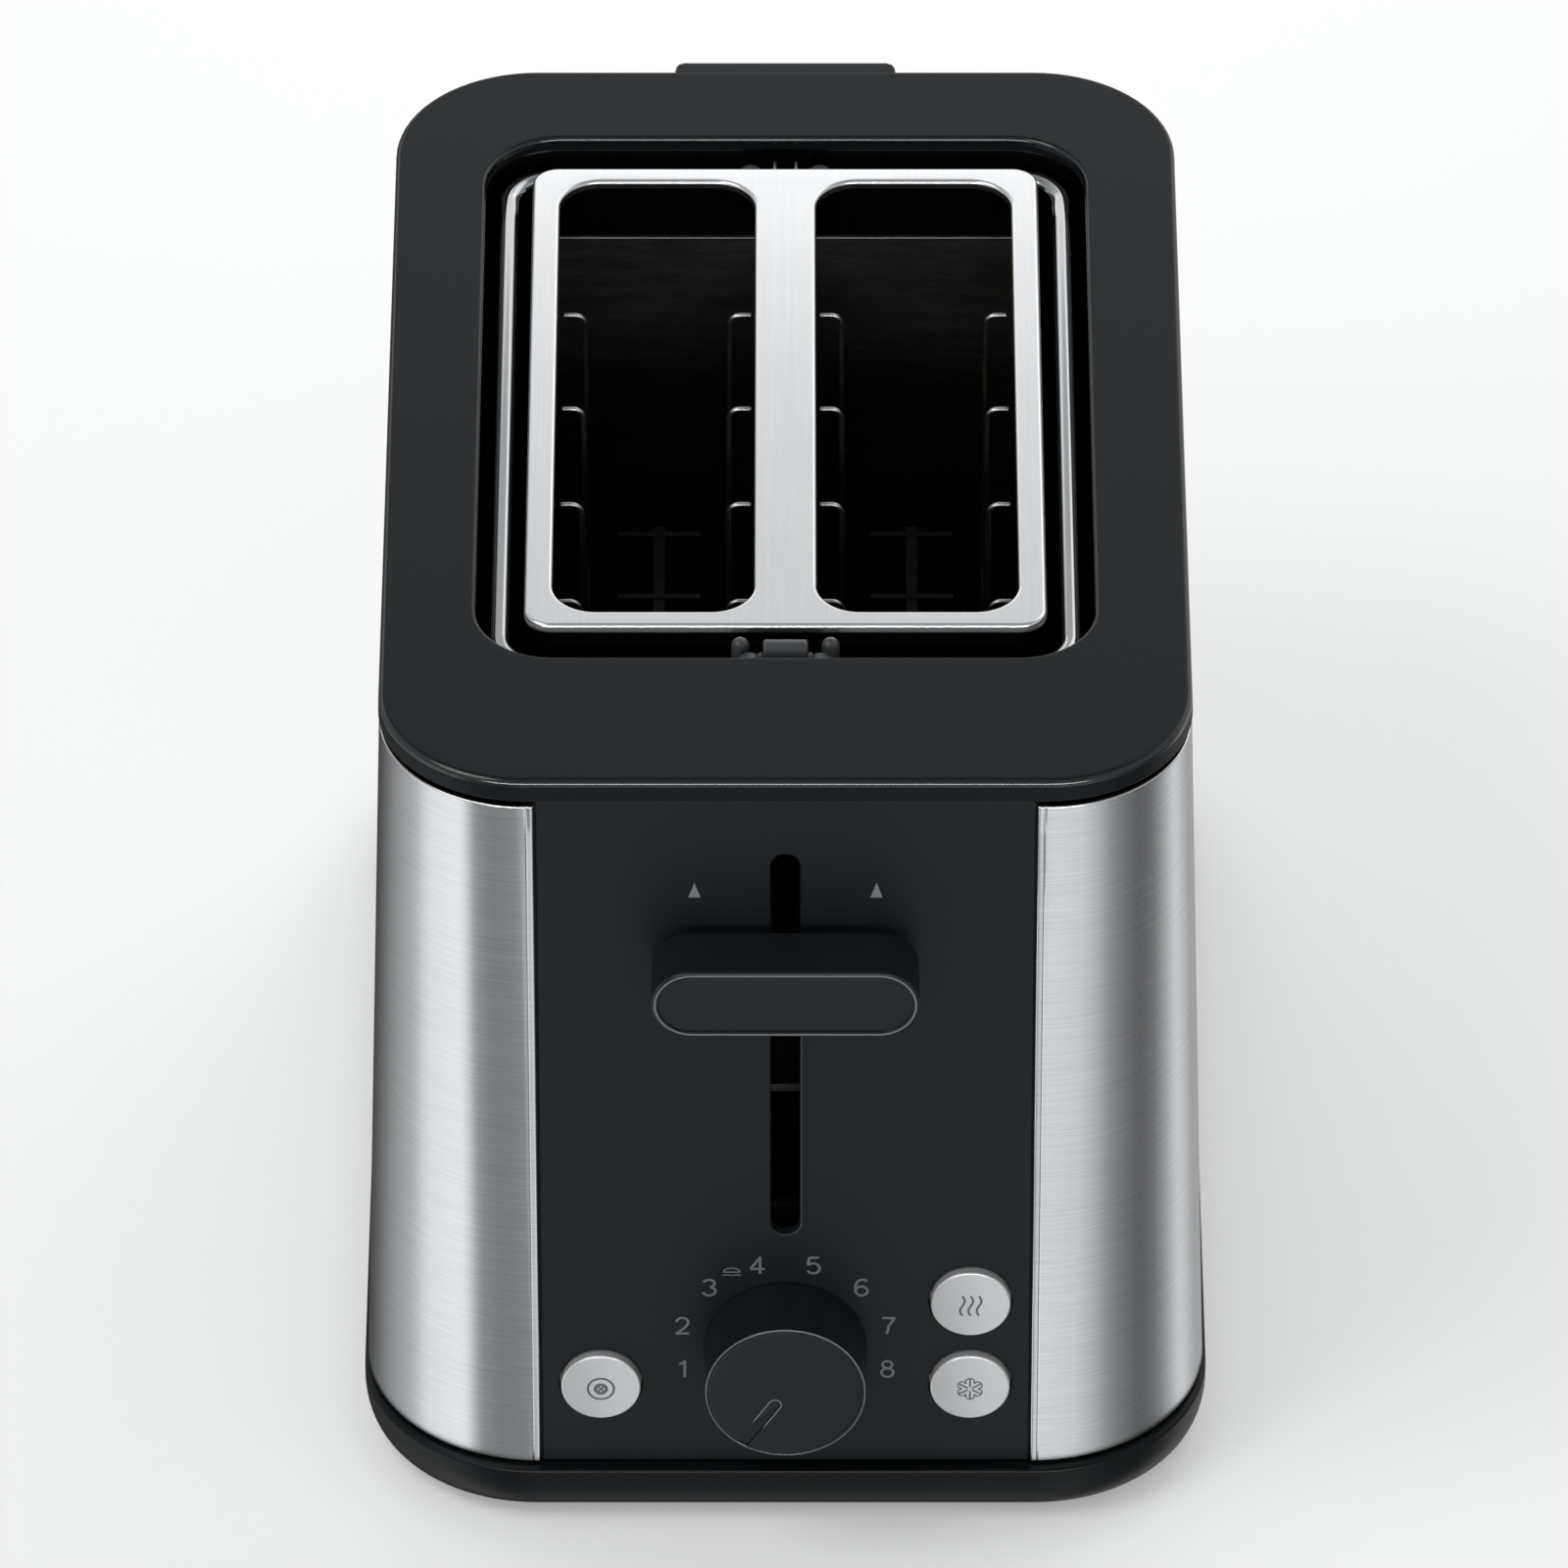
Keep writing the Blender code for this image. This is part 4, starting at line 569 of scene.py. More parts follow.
def roundedPlan(halfX, halfY, radius, centre=(0, 0), steps=None):
    steps = steps or housing["cornerSteps"]
    points = []
    for quarter, (sx, sy) in enumerate(((1, 1), (-1, 1), (-1, -1), (1, -1))):
        cx, cy = centre[0] + sx * (halfX - radius), centre[1] + sy * (halfY - radius)
        for i in range(steps + 1):
            turn = math.radians(90 * (quarter + i / steps))
            points.append((cx + radius * math.cos(turn), cy + radius * math.sin(turn)))
    return points


def housingPlan(z, inset=0.0):
    return roundedPlan(halfWidth(z) - inset, halfLength(z) - inset, cornerRadius(z) - inset,
                       (0, middleY))


def circlePlan(radius, centre=(0, 0), steps=64):
    turns = [2 * math.pi * i / steps for i in range(steps)]
    return [(centre[0] + radius * math.cos(t), centre[1] + radius * math.sin(t)) for t in turns]


def atHeight(plan, z):
    return [(x, y, z) for x, y in plan]


def fillet(radius, start, end, steps=6):  # (cosine, sine) offsets along an arc, angles in degrees
    turns = [math.radians(start + (end - start) * i / steps) for i in range(steps + 1)]
    return [(radius * math.cos(t), radius * math.sin(t)) for t in turns]


tiny = 0.0001  # radius of a turned shape's ring on its axis


class Shape:  # points and faces gathered in millimetres, then made one mesh
    def __init__(self, place=None):
        self.place = place or Matrix.Identity(4)
        self.points, self.faces = [], []

    def ring(self, points):
        first = len(self.points)
        self.points += [self.place @ Vector(p) for p in points]
        return list(range(first, len(self.points)))

    def bridge(self, low, high):
        for i in range(len(low)):
            j = (i + 1) % len(low)
            self.faces.append((low[i], low[j], high[j], high[i]))

    def loft(self, sections, loop=False, caps=True):
        rings = [self.ring(section) for section in sections]
        for low, high in zip(rings, rings[1:]):
            self.bridge(low, high)
        if loop:
            self.bridge(rings[-1], rings[0])
        elif caps:
            self.faces.append(tuple(reversed(rings[0])))
            self.faces.append(tuple(rings[-1]))

    def turn(self, profile, steps=64, about=None, loop=False):  # profile is (radius, height) about local Z
        about = about or Matrix.Identity(4)
        sections = []
        for radius, height in profile:
            circle = circlePlan(max(radius, tiny), steps=steps)
            sections.append([about @ Vector((x, y, height)) for x, y in circle])
        self.loft(sections, loop=loop)

    def tube(self, path, radius, sides=16, closed=False):
        path = [Vector(p) for p in path]
        count = len(path)
        sections, side = [], None
        for i, point in enumerate(path):
            before = path[i - 1] if closed or i else point
            after = path[(i + 1) % count] if closed or i < count - 1 else point
            along = (after - before).normalized()
            if side is None:
                side = along.orthogonal().normalized()
            side = (side - along * side.dot(along)).normalized()
            other = along.cross(side)
            wide = radius[i] if isinstance(radius, (list, tuple)) else radius
            sections.append([
                point + side * (wide * math.cos(t)) + other * (wide * math.sin(t))
                for t in (2 * math.pi * k / sides for k in range(sides))
            ])
        self.loft(sections, loop=closed)

    def join(self, other):
        first = len(self.points)
        self.points += other.points
        self.faces += [tuple(first + i for i in face) for face in other.faces]


def bent(points, radius, steps=6):  # a path of straight runs with its inner corners rounded
    points = [Vector(p) for p in points]
    path = [points[0]]
    for before, corner, after in zip(points, points[1:], points[2:]):
        a, b = (before - corner).normalized(), (after - corner).normalized()
        half = a.angle(b) / 2
        room = min((before - corner).length, (after - corner).length) * 0.49
        reach = min(radius / math.tan(half), room)
        size = reach * math.tan(half)
        centre = corner + (a + b).normalized() * (size / math.sin(half))
        start, end = corner + a * reach, corner + b * reach
        for i in range(steps + 1):
            mixed = (start - centre).slerp(end - centre, i / steps)
            path.append(centre + mixed.normalized() * size)
    path.append(points[-1])
    return path


sharpAngle = math.radians(32)  # edges bent more than this stay crisp
weldGap = 0.0005


def makePiece(name, shape, finish, body, replaced=(), weld=weldGap):
    mesh = bpy.data.meshes.new(name)
    mesh.from_pydata([p * mm for p in shape.points], [], shape.faces)
    bm = bmesh.new()
    bm.from_mesh(mesh)
    bmesh.ops.remove_doubles(bm, verts=bm.verts, dist=weld * mm)
    bmesh.ops.dissolve_degenerate(bm, edges=bm.edges, dist=1e-7)
    bmesh.ops.recalc_face_normals(bm, faces=bm.faces)
    bm.to_mesh(mesh)
    bm.free()
    mesh.shade_smooth()
    mesh.set_sharp_from_angle(angle=sharpAngle)
    mesh.materials.append(finishes[finish])
    piece = bpy.data.objects.new(name, mesh)
    bpy.context.scene.collection.objects.link(piece)
    even = piece.modifiers.new("even normals", "WEIGHTED_NORMAL")
    even.keep_sharp = True
    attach(piece, body)
    if replaced:
        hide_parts(*replaced)


def fillFlat(shape, loops, z):  # a flat face between an outline and the holes in it
    bm = bmesh.new()
    for loop in loops:
        verts = [bm.verts.new((x, y, z)) for x, y in loop]
        for a, b in zip(verts, verts[1:] + verts[:1]):
            bm.edges.new((a, b))
    bmesh.ops.triangle_fill(bm, use_beauty=True, edges=bm.edges[:])
    bm.verts.index_update()
    ring = shape.ring([v.co for v in bm.verts])
    shape.faces += [tuple(ring[v.index] for v in face.verts) for face in bm.faces]
    bm.free()


print("mesh tools ready")


rim = {
    "band": 5.3, "proud": 0.2, "edge": 1.5, "lowEdge": 0.6, "lowInset": 0.4, "openingEdge": 1.1,
    "wall": 3.0, "tongueInset": 3.6, "tongueWall": 1.6, "tongueDepth": 6.0, "wellFlange": 4.0,
    "wellTuck": 0.2, "openingCorner": 16.5, "flatSide": 1, "flatOpening": 0.6,
}
openingHalf = Vector((wellHigh.x, (wellHigh.y - wellLow.y) / 2)) - Vector((1, 1)) * rim["wellFlange"]
openingY = (wellHigh.y + wellLow.y) / 2


def openingPlan(outset=0.0):
    return roundedPlan(openingHalf.x + outset, openingHalf.y + outset, rim["openingCorner"] + outset,
                       (0, openingY))


def makeTopFrame():
    under = top - rim["band"]
    shape = Shape()
    sections = [
        atHeight(housingPlan(top, rim["tongueInset"] + rim["tongueWall"]), under - rim["tongueDepth"]),
        atHeight(housingPlan(top, rim["tongueInset"]), under - rim["tongueDepth"]),
        atHeight(housingPlan(top, rim["tongueInset"]), under),
        atHeight(housingPlan(under, rim["lowEdge"] + rim["lowInset"] - rim["proud"]), under),
    ]
    for c, s in fillet(rim["lowEdge"], -90, 0):
        z = under + rim["lowEdge"] + s
        sections.append(atHeight(housingPlan(z, rim["lowEdge"] - c - rim["proud"]), z))
    for c, s in fillet(rim["edge"], 0, 90, 10):
        z = top - rim["edge"] + s
        sections.append(atHeight(housingPlan(z, rim["edge"] - c - rim["proud"]), z))
    sections.append(atHeight(housingPlan(top, rim["edge"] + rim["flatSide"] - rim["proud"]), top))
    sections.append(atHeight(openingPlan(rim["openingEdge"] + rim["flatOpening"]), top))
    for c, s in fillet(rim["openingEdge"], 90, 180, 8):
        sections.append(atHeight(openingPlan(rim["openingEdge"] + c), top - rim["openingEdge"] + s))
    sections.append(atHeight(openingPlan(0), top - rim["wall"]))
    sections.append(atHeight(openingPlan(rim["wellTuck"]), top - rim["wall"]))
    sections.append(atHeight(housingPlan(top, rim["tongueInset"] + rim["tongueWall"]), top - rim["wall"]))
    shape.loft(sections, loop=True)
    makePiece("topFrame", shape, "rim", "housing", ["top_frame"])


gutter = {"tuck": 0.2, "wall": 1.5, "fillet": 2.6, "lip": 1.3, "lipTopGap": 1.1}
plate = {
    "corner": 5.5, "edge": 0.9, "innerEdge": 0.1, "lip": 1.9, "lipEdge": 0.15, "sheet": 0.8,
    "skirtGap": 0.4, "slotWidth": 42.0, "slotCorner": 9.0, "border": 5.05, "bridge": 13.2,
}
plateHalf = Vector((plateHigh.x, (plateHigh.y - plateLow.y) / 2))
plateY = (plateHigh.y + plateLow.y) / 2
plateTop = plateHigh.z
slotX = (plate["bridge"] + plate["slotWidth"]) / 2
slotHalfY = plateHalf.y - plate["border"]
wellFloor = wellLow.z + gutter["wall"]


def platePlan(outset=0.0):
    return roundedPlan(plateHalf.x + outset, plateHalf.y + outset, plate["corner"] + outset, (0, plateY))


def slotPlan(side, outset=0.0):
    return roundedPlan(plate["slotWidth"] / 2 + outset, slotHalfY + outset, plate["slotCorner"] + outset,
                       (side * slotX, plateY))


def makeGutter():
    shape = Shape()
    flangeTop = wellHigh.z
    tuck, wall, curve = gutter["tuck"], gutter["wall"], gutter["fillet"]
    outside = plate["skirtGap"] + plate["sheet"]
    sections = [
        atHeight(openingPlan(rim["wellFlange"]), flangeTop),
        atHeight(openingPlan(rim["wellFlange"]), flangeTop - wall),
        atHeight(openingPlan(tuck + wall), flangeTop - wall),
        atHeight(openingPlan(tuck + wall), wellLow.z),
        atHeight(platePlan(-outside - gutter["lip"]), wellLow.z),
        atHeight(platePlan(-outside - gutter["lip"]), plateTop - gutter["lipTopGap"]),
        atHeight(platePlan(-outside), plateTop - gutter["lipTopGap"]),
    ]
    for c, s in fillet(curve, 180, 270, 8):
        sections.append(atHeight(platePlan(-outside + curve + c), wellFloor + curve + s))
    for c, s in fillet(curve, 270, 360, 8):
        sections.append(atHeight(openingPlan(tuck - curve + c), wellFloor + curve + s))
    sections.append(atHeight(openingPlan(tuck), flangeTop))
    shape.loft(sections, loop=True)
    makePiece("slotGutter", shape, "well", "housing", ["slot_well"])


def makeSlotPlate():
    shape = Shape()
    edge, lip, sheet = plate["edge"], plate["lip"], plate["sheet"]
    plans = [lambda inset: platePlan(-inset)]
    plans += [lambda inset, side=side: slotPlan(side, inset) for side in (-1, 1)]
    fillFlat(shape, [plan(edge) for plan in plans], plateTop)
    fillFlat(shape, [plan(edge) for plan in plans], plateTop - sheet)
    for plan in plans:
        sections = [
            atHeight(plan(edge - c), plateTop - edge + s) for c, s in fillet(edge, 90, 0, 7)
        ]
        sections.append(atHeight(plan(0), plateTop - lip))
        sections.append(atHeight(plan(sheet * 0.5), plateTop - lip - plate["lipEdge"]))
        sections.append(atHeight(plan(sheet), plateTop - lip))
        sections.append(atHeight(plan(sheet), plateTop - edge))
        sections += [
            atHeight(plan(edge - c), plateTop - edge + s) for c, s in fillet(plate["innerEdge"], 0, 90, 3)
        ]
        shape.loft(sections, caps=False)
    makePiece("slotPlate", shape, "plate", "housing", ["slot_plate"], weld=0.02)


rib = {"x": 63.3, "radius": 1.5, "tip": 0.4, "height": 186.2, "rear": 70.0, "front": -66.0, "taper": 3,
       "fall": 1.2}


def makeGutterRib(side, name):
    shape = Shape()
    x, z, wide, tip = side * rib["x"], rib["height"], rib["radius"], rib["tip"]
    rearTip = (x + side, rib["rear"] + rib["taper"], z - rib["fall"])
    frontTip = (x + side, rib["front"] - rib["taper"], z - rib["fall"])
    path = [rearTip, (x, rib["rear"], z), (x, 0, z), (x, rib["front"], z), frontTip]
    shape.tube(path, [tip, wide, wide, wide, tip], 28)
    makePiece(name, shape, "rib", "housing")


makeGutterRib(-1, "gutterRibLeft")
makeGutterRib(1, "gutterRibRight")
makeTopFrame()
makeGutter()
makeSlotPlate()
print("top frame, gutter and slot plate made")


rack = {"wire": 2.5, "bend": 9.0, "bossHalf": 2.8, "steps": 12, "pin": 2.8, "pinHalf": 2.7, "pinEdge": 0.3}


def makeRack(side, name, node):  # each half is a body of its own, named as its node
    low, high = cadBox(node)
    pivot = Vector(joints[node + "_fold"]["pos_m"]) / mm
    front, rear = low.y + rack["bossHalf"], high.y - rack["bossHalf"]
    far = max(abs(low.x), abs(high.x)) - rack["wire"]
    path = bent([(pivot.x, front, pivot.z), (side * far, front, pivot.z), (side * far, rear, pivot.z),
                 (pivot.x, rear, pivot.z)], rack["bend"], rack["steps"])
    shape = Shape()
    shape.tube(path, rack["wire"], 24)
    makePiece(name, shape, "rack", node, [node])
    pins = Shape()
    wide, half, edge = rack["pin"], rack["pinHalf"], rack["pinEdge"]
    profile = [(0, -half), (wide - edge, -half), (wide, -half + edge), (wide, half - edge),
               (wide - edge, half), (0, half)]
    for y in (front, rear):
        pin = Matrix.Translation((pivot.x, y, pivot.z)) @ Matrix.Rotation(math.pi / 2, 4, "X")
        pins.turn(profile, 40, pin)
    makePiece(name + "Pins", pins, "hinge", node)


makeRack(-1, "bunRackLeft", "bun_rack_left")
makeRack(1, "bunRackRight", "bun_rack_right")

hinge = {"capsule": 2.3, "capsuleHalf": 4.0, "capsuleRise": 3.8, "capsuleSetback": 2.6, "knuckle": 1.9,
         "knuckleX": 9.4, "knuckleTop": 4.9, "knuckleSetback": 5.2, "nub": 0.8, "nubX": 5.1,
         "nubSetback": 1.2, "nubRise": 3.4, "postX": 2.4, "postRise": 2.2, "blade": 0.3, "bladeX": 2.3,
         "bladeRise": 3.4, "rearSetback": 0.6, "footHalf": 6.5, "footHeight": 3, "sink": 0.05, "lift": 0.3}


def makeFrontHinge():
    low, high = cadBox("rack_bracket_front")
    pivot = Vector(joints["bun_rack_left_fold"]["pos_m"]) / mm
    y, z = (low.y + high.y) / 2, pivot.z
    shape = Shape()
    reach, half = hinge["capsule"], hinge["capsuleHalf"]
    sideways = Matrix.Translation((0, y + hinge["capsuleSetback"], z + hinge["capsuleRise"]))
    sideways = sideways @ Matrix.Rotation(math.pi / 2, 4, "Y")
    profile = [(reach * 0.7 + c, -half - s) for c, s in fillet(reach * 0.3, 90, 0, 6)]
    profile += [(reach * 0.7 + c, half + s) for c, s in fillet(reach * 0.3, 0, 90, 6)]
    shape.turn(profile, 40, sideways)
    wide, crown = hinge["knuckle"], z + hinge["knuckleTop"]
    dome = [(0, wellFloor + hinge["lift"]), (wide * 0.9, wellFloor + hinge["lift"])]
    dome += [(wide * math.cos(t), crown - wide + wide * math.sin(t))
             for t in (math.pi / 2 * i / 10 for i in range(11))]
    small = hinge["nub"]
    turns = [math.pi * (i / 12 - 0.5) for i in range(13)]
    nub = [(small * math.cos(t), small * math.sin(t)) for t in turns]
    for side in (-1, 1):
        about = Matrix.Translation((side * hinge["knuckleX"], y + hinge["knuckleSetback"], 0))
        shape.turn(dome, 48, about)
        about = Matrix.Translation((side * hinge["nubX"], y + hinge["nubSetback"], z + hinge["nubRise"]))
        shape.turn(nub, 20, about)
        post = roundedPlan(1.0, 1.5, 0.5, (side * hinge["postX"], y + hinge["capsuleSetback"]), 5)
        shape.loft([atHeight(post, h) for h in (wellFloor + hinge["sink"], z + hinge["postRise"])])
    makePiece("rackHingeFront", shape, "hinge", "housing", ["rack_bracket_front"])


def makeRearHinge():
    low, high = cadBox("rack_bracket_rear")
    pivot = Vector(joints["bun_rack_left_fold"]["pos_m"]) / mm
    y = (low.y + high.y) / 2 + hinge["rearSetback"]
    blades = Shape()
    for side in (-1, 1):
        plan = roundedPlan(hinge["blade"], 1.6, 0.25, (side * hinge["bladeX"], y), 4)
        blades.loft([atHeight(plan, h) for h in (wellFloor + hinge["lift"], pivot.z + hinge["bladeRise"])])
    makePiece("rackHingeBlades", blades, "plate", "housing", ["rack_bracket_rear"])
    block = Shape()
    plan = roundedPlan(hinge["footHalf"], 1.8, 0.6, (0, y), 5)
    block.loft([atHeight(plan, wellFloor + h) for h in (hinge["sink"], hinge["footHeight"])])
    makePiece("rackHingeRear", block, "well", "housing")


makeFrontHinge()
makeRearHinge()
print("bun rack made")


shell = {"sheet": 1.0, "return": 0.5, "edge": 0.35, "crease": 1.5, "creaseHalf": 0.22,
         "creaseDepth": 0.14, "arcSteps": 40, "sideSteps": 10, "levels": 24, "backStart": 0.05,
         "backEdge": 0.02}
panelEdge = shellLow.x  # where a shell begins, beside the panel


def shellPoint(along, z, inset):  # along the plan of a shell from its front edge
    halfX, halfY, radius = halfWidth(z), halfLength(z), cornerRadius(z)
    flat = halfX - radius - panelEdge
    arc = radius * math.pi / 2
    side = 2 * (halfY - radius)
    total = 2 * flat + 2 * arc + side
    mirrored = along > total / 2
    s = total - along if mirrored else along
    if s <= flat:
        x, y, nx, ny = panelEdge + s, -halfY, 0, -1
    elif s <= flat + arc:
        turn = (s - flat) / radius
        nx, ny = math.sin(turn), -math.cos(turn)
        x, y = halfX - radius + radius * nx, -halfY + radius + radius * ny
    else:
        x, y, nx, ny = halfX, -halfY + radius + (s - flat - arc), 1, 0
    if mirrored:
        y, ny = -y, -ny
    return x - inset * nx, middleY + y - inset * ny, total, flat, arc


def shellSection(z, side, edgeInset):
    total, flat, arc = shellPoint(0, z, 0)[2:]
    crease, half, depth = shell["crease"], shell["creaseHalf"], shell["creaseDepth"]
    near = [(shell["return"] * (1 - math.cos(t)), shell["return"] * (1 - math.sin(t)))
            for t in (math.pi / 2 * i / 6 for i in range(7))]
    near += [(crease - half, 0), (crease, depth), (crease + half, 0)]
    arcs = [flat + arc * i / shell["arcSteps"] for i in range(shell["arcSteps"] + 1)]
    arcs = [s for s in arcs if s > crease + 2 * half]
    while len(arcs) < shell["arcSteps"] + 1:
        arcs.insert(0, (crease + half + arcs[0]) / 2)
    sides = [flat + arc + (total / 2 - flat - arc) * i / shell["sideSteps"]
             for i in range(1, shell["sideSteps"])]
    firstHalf = near + [(s, 0) for s in arcs + sides]
    outer = firstHalf + [(total / 2, 0)] + [(total - s, inset) for s, inset in reversed(firstHalf)]
    points = [shellPoint(s, z, inset + edgeInset)[:2] for s, inset in outer]
    back = shell["sheet"] - edgeInset
    inner = [(shell["backEdge"], back)]
    inner += [(max(s, shell["backStart"]), back) for s in arcs[::4] + [total / 2]]
    backs = [(total - s, inset) for s, inset in inner[:-1]] + list(reversed(inner))
    points += [shellPoint(s, z, inset)[:2] for s, inset in backs]
    return [(side * x, y, z) for x, y in points]


def makeShell(side, name, node):
    low, high = shellLow.z, shellHigh.z
    edge = shell["edge"]
    levels = [(low + edge * (1 - math.cos(t)), edge * (1 - math.sin(t)))
              for t in (math.pi / 2 * i / 4 for i in range(5))]
    levels += [(low + (high - low) * i / shell["levels"], 0) for i in range(1, shell["levels"])]
    levels += [(high - edge * (1 - math.cos(t)), edge * (1 - math.sin(t)))
               for t in (math.pi / 2 * i / 4 for i in range(4, -1, -1))]
    shape = Shape()
    shape.loft([shellSection(z, side, inset) for z, inset in levels])
    makePiece(name, shape, "shell", "housing", [node])


makeShell(-1, "shellLeft", "left_shell")
makeShell(1, "shellRight", "right_shell")
print("steel shells made")


def solidOf(shape):
    mesh = bpy.data.meshes.new("work")
    mesh.from_pydata([p * mm for p in shape.points], [], shape.faces)
    bm = bmesh.new()
    bm.from_mesh(mesh)
    bmesh.ops.remove_doubles(bm, verts=bm.verts, dist=weldGap * mm)
    bmesh.ops.recalc_face_normals(bm, faces=bm.faces)
    bm.to_mesh(mesh)
    bm.free()
    made = bpy.data.objects.new("work", mesh)
    bpy.context.scene.collection.objects.link(made)
    return made


def carve(shape, tools):
    target = solidOf(shape)
    cutters = [solidOf(tool) for tool in tools]
    for cutter in cutters:
        step = target.modifiers.new("carve", "BOOLEAN")
        step.operation, step.object, step.solver = "DIFFERENCE", cutter, "EXACT"
    bpy.context.view_layer.update()
    result = target.evaluated_get(bpy.context.evaluated_depsgraph_get()).to_mesh()
    carved = Shape()
    carved.points = [v.co / mm for v in result.vertices]
    carved.faces = [tuple(face.vertices) for face in result.polygons]
    for obj in [target] + cutters:
        bpy.data.objects.remove(obj, do_unlink=True)
    return carved


def placed(shape, place):
    shape.points = [place @ p for p in shape.points]
    return shape


layFlat = Matrix.Rotation(math.pi / 2, 4, "X")  # local z of a flat piece points out of the front
frontFlat = frontPlace @ layFlat
rearFlat = rearPlace @ layFlat


def perforated(outline, holes, thick, edge):  # its face is at z = 0, with every edge rounded
    shape = Shape()
    fillFlat(shape, [outline(edge)] + [hole(-edge) for hole in holes], 0)
    fillFlat(shape, [outline(0)] + [hole(0) for hole in holes], -thick)
    for plan, sign in [(outline, 1)] + [(hole, -1) for hole in holes]:
        sections = [atHeight(plan(sign * (edge - c)), s - edge) for c, s in fillet(edge, 90, 0, 4)]
        sections.append(atHeight(plan(0), -thick))
        shape.loft(sections, caps=False)
    return shape


def rectangle(low, high):
    (x0, y0), (x1, y1) = low, high
    return lambda inset: [(x0 + inset, y0 + inset), (x1 - inset, y0 + inset), (x1 - inset, y1 - inset),
                          (x0 + inset, y1 - inset)]


def disc(centre, radius, steps=64):
    return lambda inset: circlePlan(radius - inset, centre, steps)


def stadium(centre, halfX, halfY, steps=16):
    radius = min(halfX, halfY)
    return lambda inset: roundedPlan(halfX - inset, halfY - inset, radius - inset - 0.01, centre, steps)


panel = {"half": 51.5, "recess": 0.6, "thick": 2.4, "edge": 0.45, "holeClear": 0.35, "shaftHole": 3.5,
         "buttonRadius": 8.4, "flange": 3.0, "flangeStart": 1.0, "flangeLap": 0.02, "lift": 0.1,
         "weld": 0.003}
panelLow, panelHigh = cadBox("front_panel")
stemHigh = cadBox("lever_stem")[1]
leverSlot = {"half": 3.05, "low": 75.9, "spare": 3.0, "lipGap": 0.3, "lipWide": 0.2, "lipHeight": 0.03}
leverLift = joints["lever_slide"]["range_m"][1] / mm
slotTop = stemHigh.z + leverLift + leverSlot["spare"]
buttonSpread, buttonLow, buttonHigh = 39.0, 36.1, 58.4
buttons = {
    "cancel_button": Vector((-buttonSpread, 0, buttonLow)),
    "reheat_button": Vector((buttonSpread, 0, buttonHigh)),
    "defrost_button": Vector((buttonSpread, 0, buttonLow)),
}


def panelPlate(low, high, holes):
    recess, thick = panel["recess"], panel["thick"]
    face = perforated(rectangle((-panel["half"], low), (panel["half"], high)), holes, thick, panel["edge"])
    wide = panel["half"] + panel["flange"]
    for side in (-1, 1):
        xs = sorted((side * (panel["half"] - panel["flangeLap"]), side * wide))
        wing = Shape()
        outline = [(xs[0], low), (xs[1], low), (xs[1], high), (xs[0], high)]
        wing.loft([atHeight(outline, -thick), atHeight(outline, -panel["flangeStart"])])
        face.join(wing)
    return placed(face, Matrix.Translation((0, 0, -recess)))


def makeFrontPanel():
    low, high = upFront(panelLow.z) + panel["lift"], upFront(panelHigh.z)
    slotLow, slotHigh = upFront(leverSlot["low"]), upFront(slotTop)
    holes = [stadium((0, (slotLow + slotHigh) / 2), leverSlot["half"], (slotHigh - slotLow) / 2, 10)]
    holes.append(disc((0, 0), panel["shaftHole"]))
    for place in buttons.values():
        holes.append(disc((place.x, upFront(place.z)), panel["buttonRadius"] + panel["holeClear"]))
    shape = placed(panelPlate(low, high, holes), frontFlat)
    makePiece("frontPanel", shape, "panel", "housing", ["front_panel"], panel["weld"])


gland = {
    "hole": 5.3,
    "profile": (  # radius and height, from the mouth of the bore round the collar and down the neck
        (3.4, 2.0), (3.7, 2.3), (5.6, 2.3), (6.3, 1.9), (6.6, 1.2), (6.6, 0.1), (5.2, 0.05),
        (5.0, -0.4), (5.0, -7.9), (3.4, -7.9), (3.2, 0),
    ),
}


def makeRearPanel():
    low, high = upFront(panelLow.z) + panel["lift"], upFront(panelHigh.z)
    glandLow, glandHigh = cadBox("cord_gland")
    x = -(glandLow.x + glandHigh.x) / 2
    z = upFront((glandLow.z + glandHigh.z) / 2)
    shape = placed(panelPlate(low, high, [disc((x, z), gland["hole"])]), rearFlat)
    makePiece("rearPanel", shape, "panel", "housing", ["rear_panel"], panel["weld"])
    bush = Shape(rearFlat @ Matrix.Translation((x, z, -panel["recess"])))
    bush.turn(gland["profile"], 48, loop=True)
    makePiece("cordGland", bush, "rubber", "housing", ["cord_gland"])


makeFrontPanel()
makeRearPanel()

lug = {"width": 48.0, "depth": 8.1, "edge": 2.4, "endEdge": 4.5, "steps": 8, "top": 191.5, "bottom": 157.5,
       "root": 0.55, "step": 0.62, "backing": 0.25, "tongueGap": 5.6}


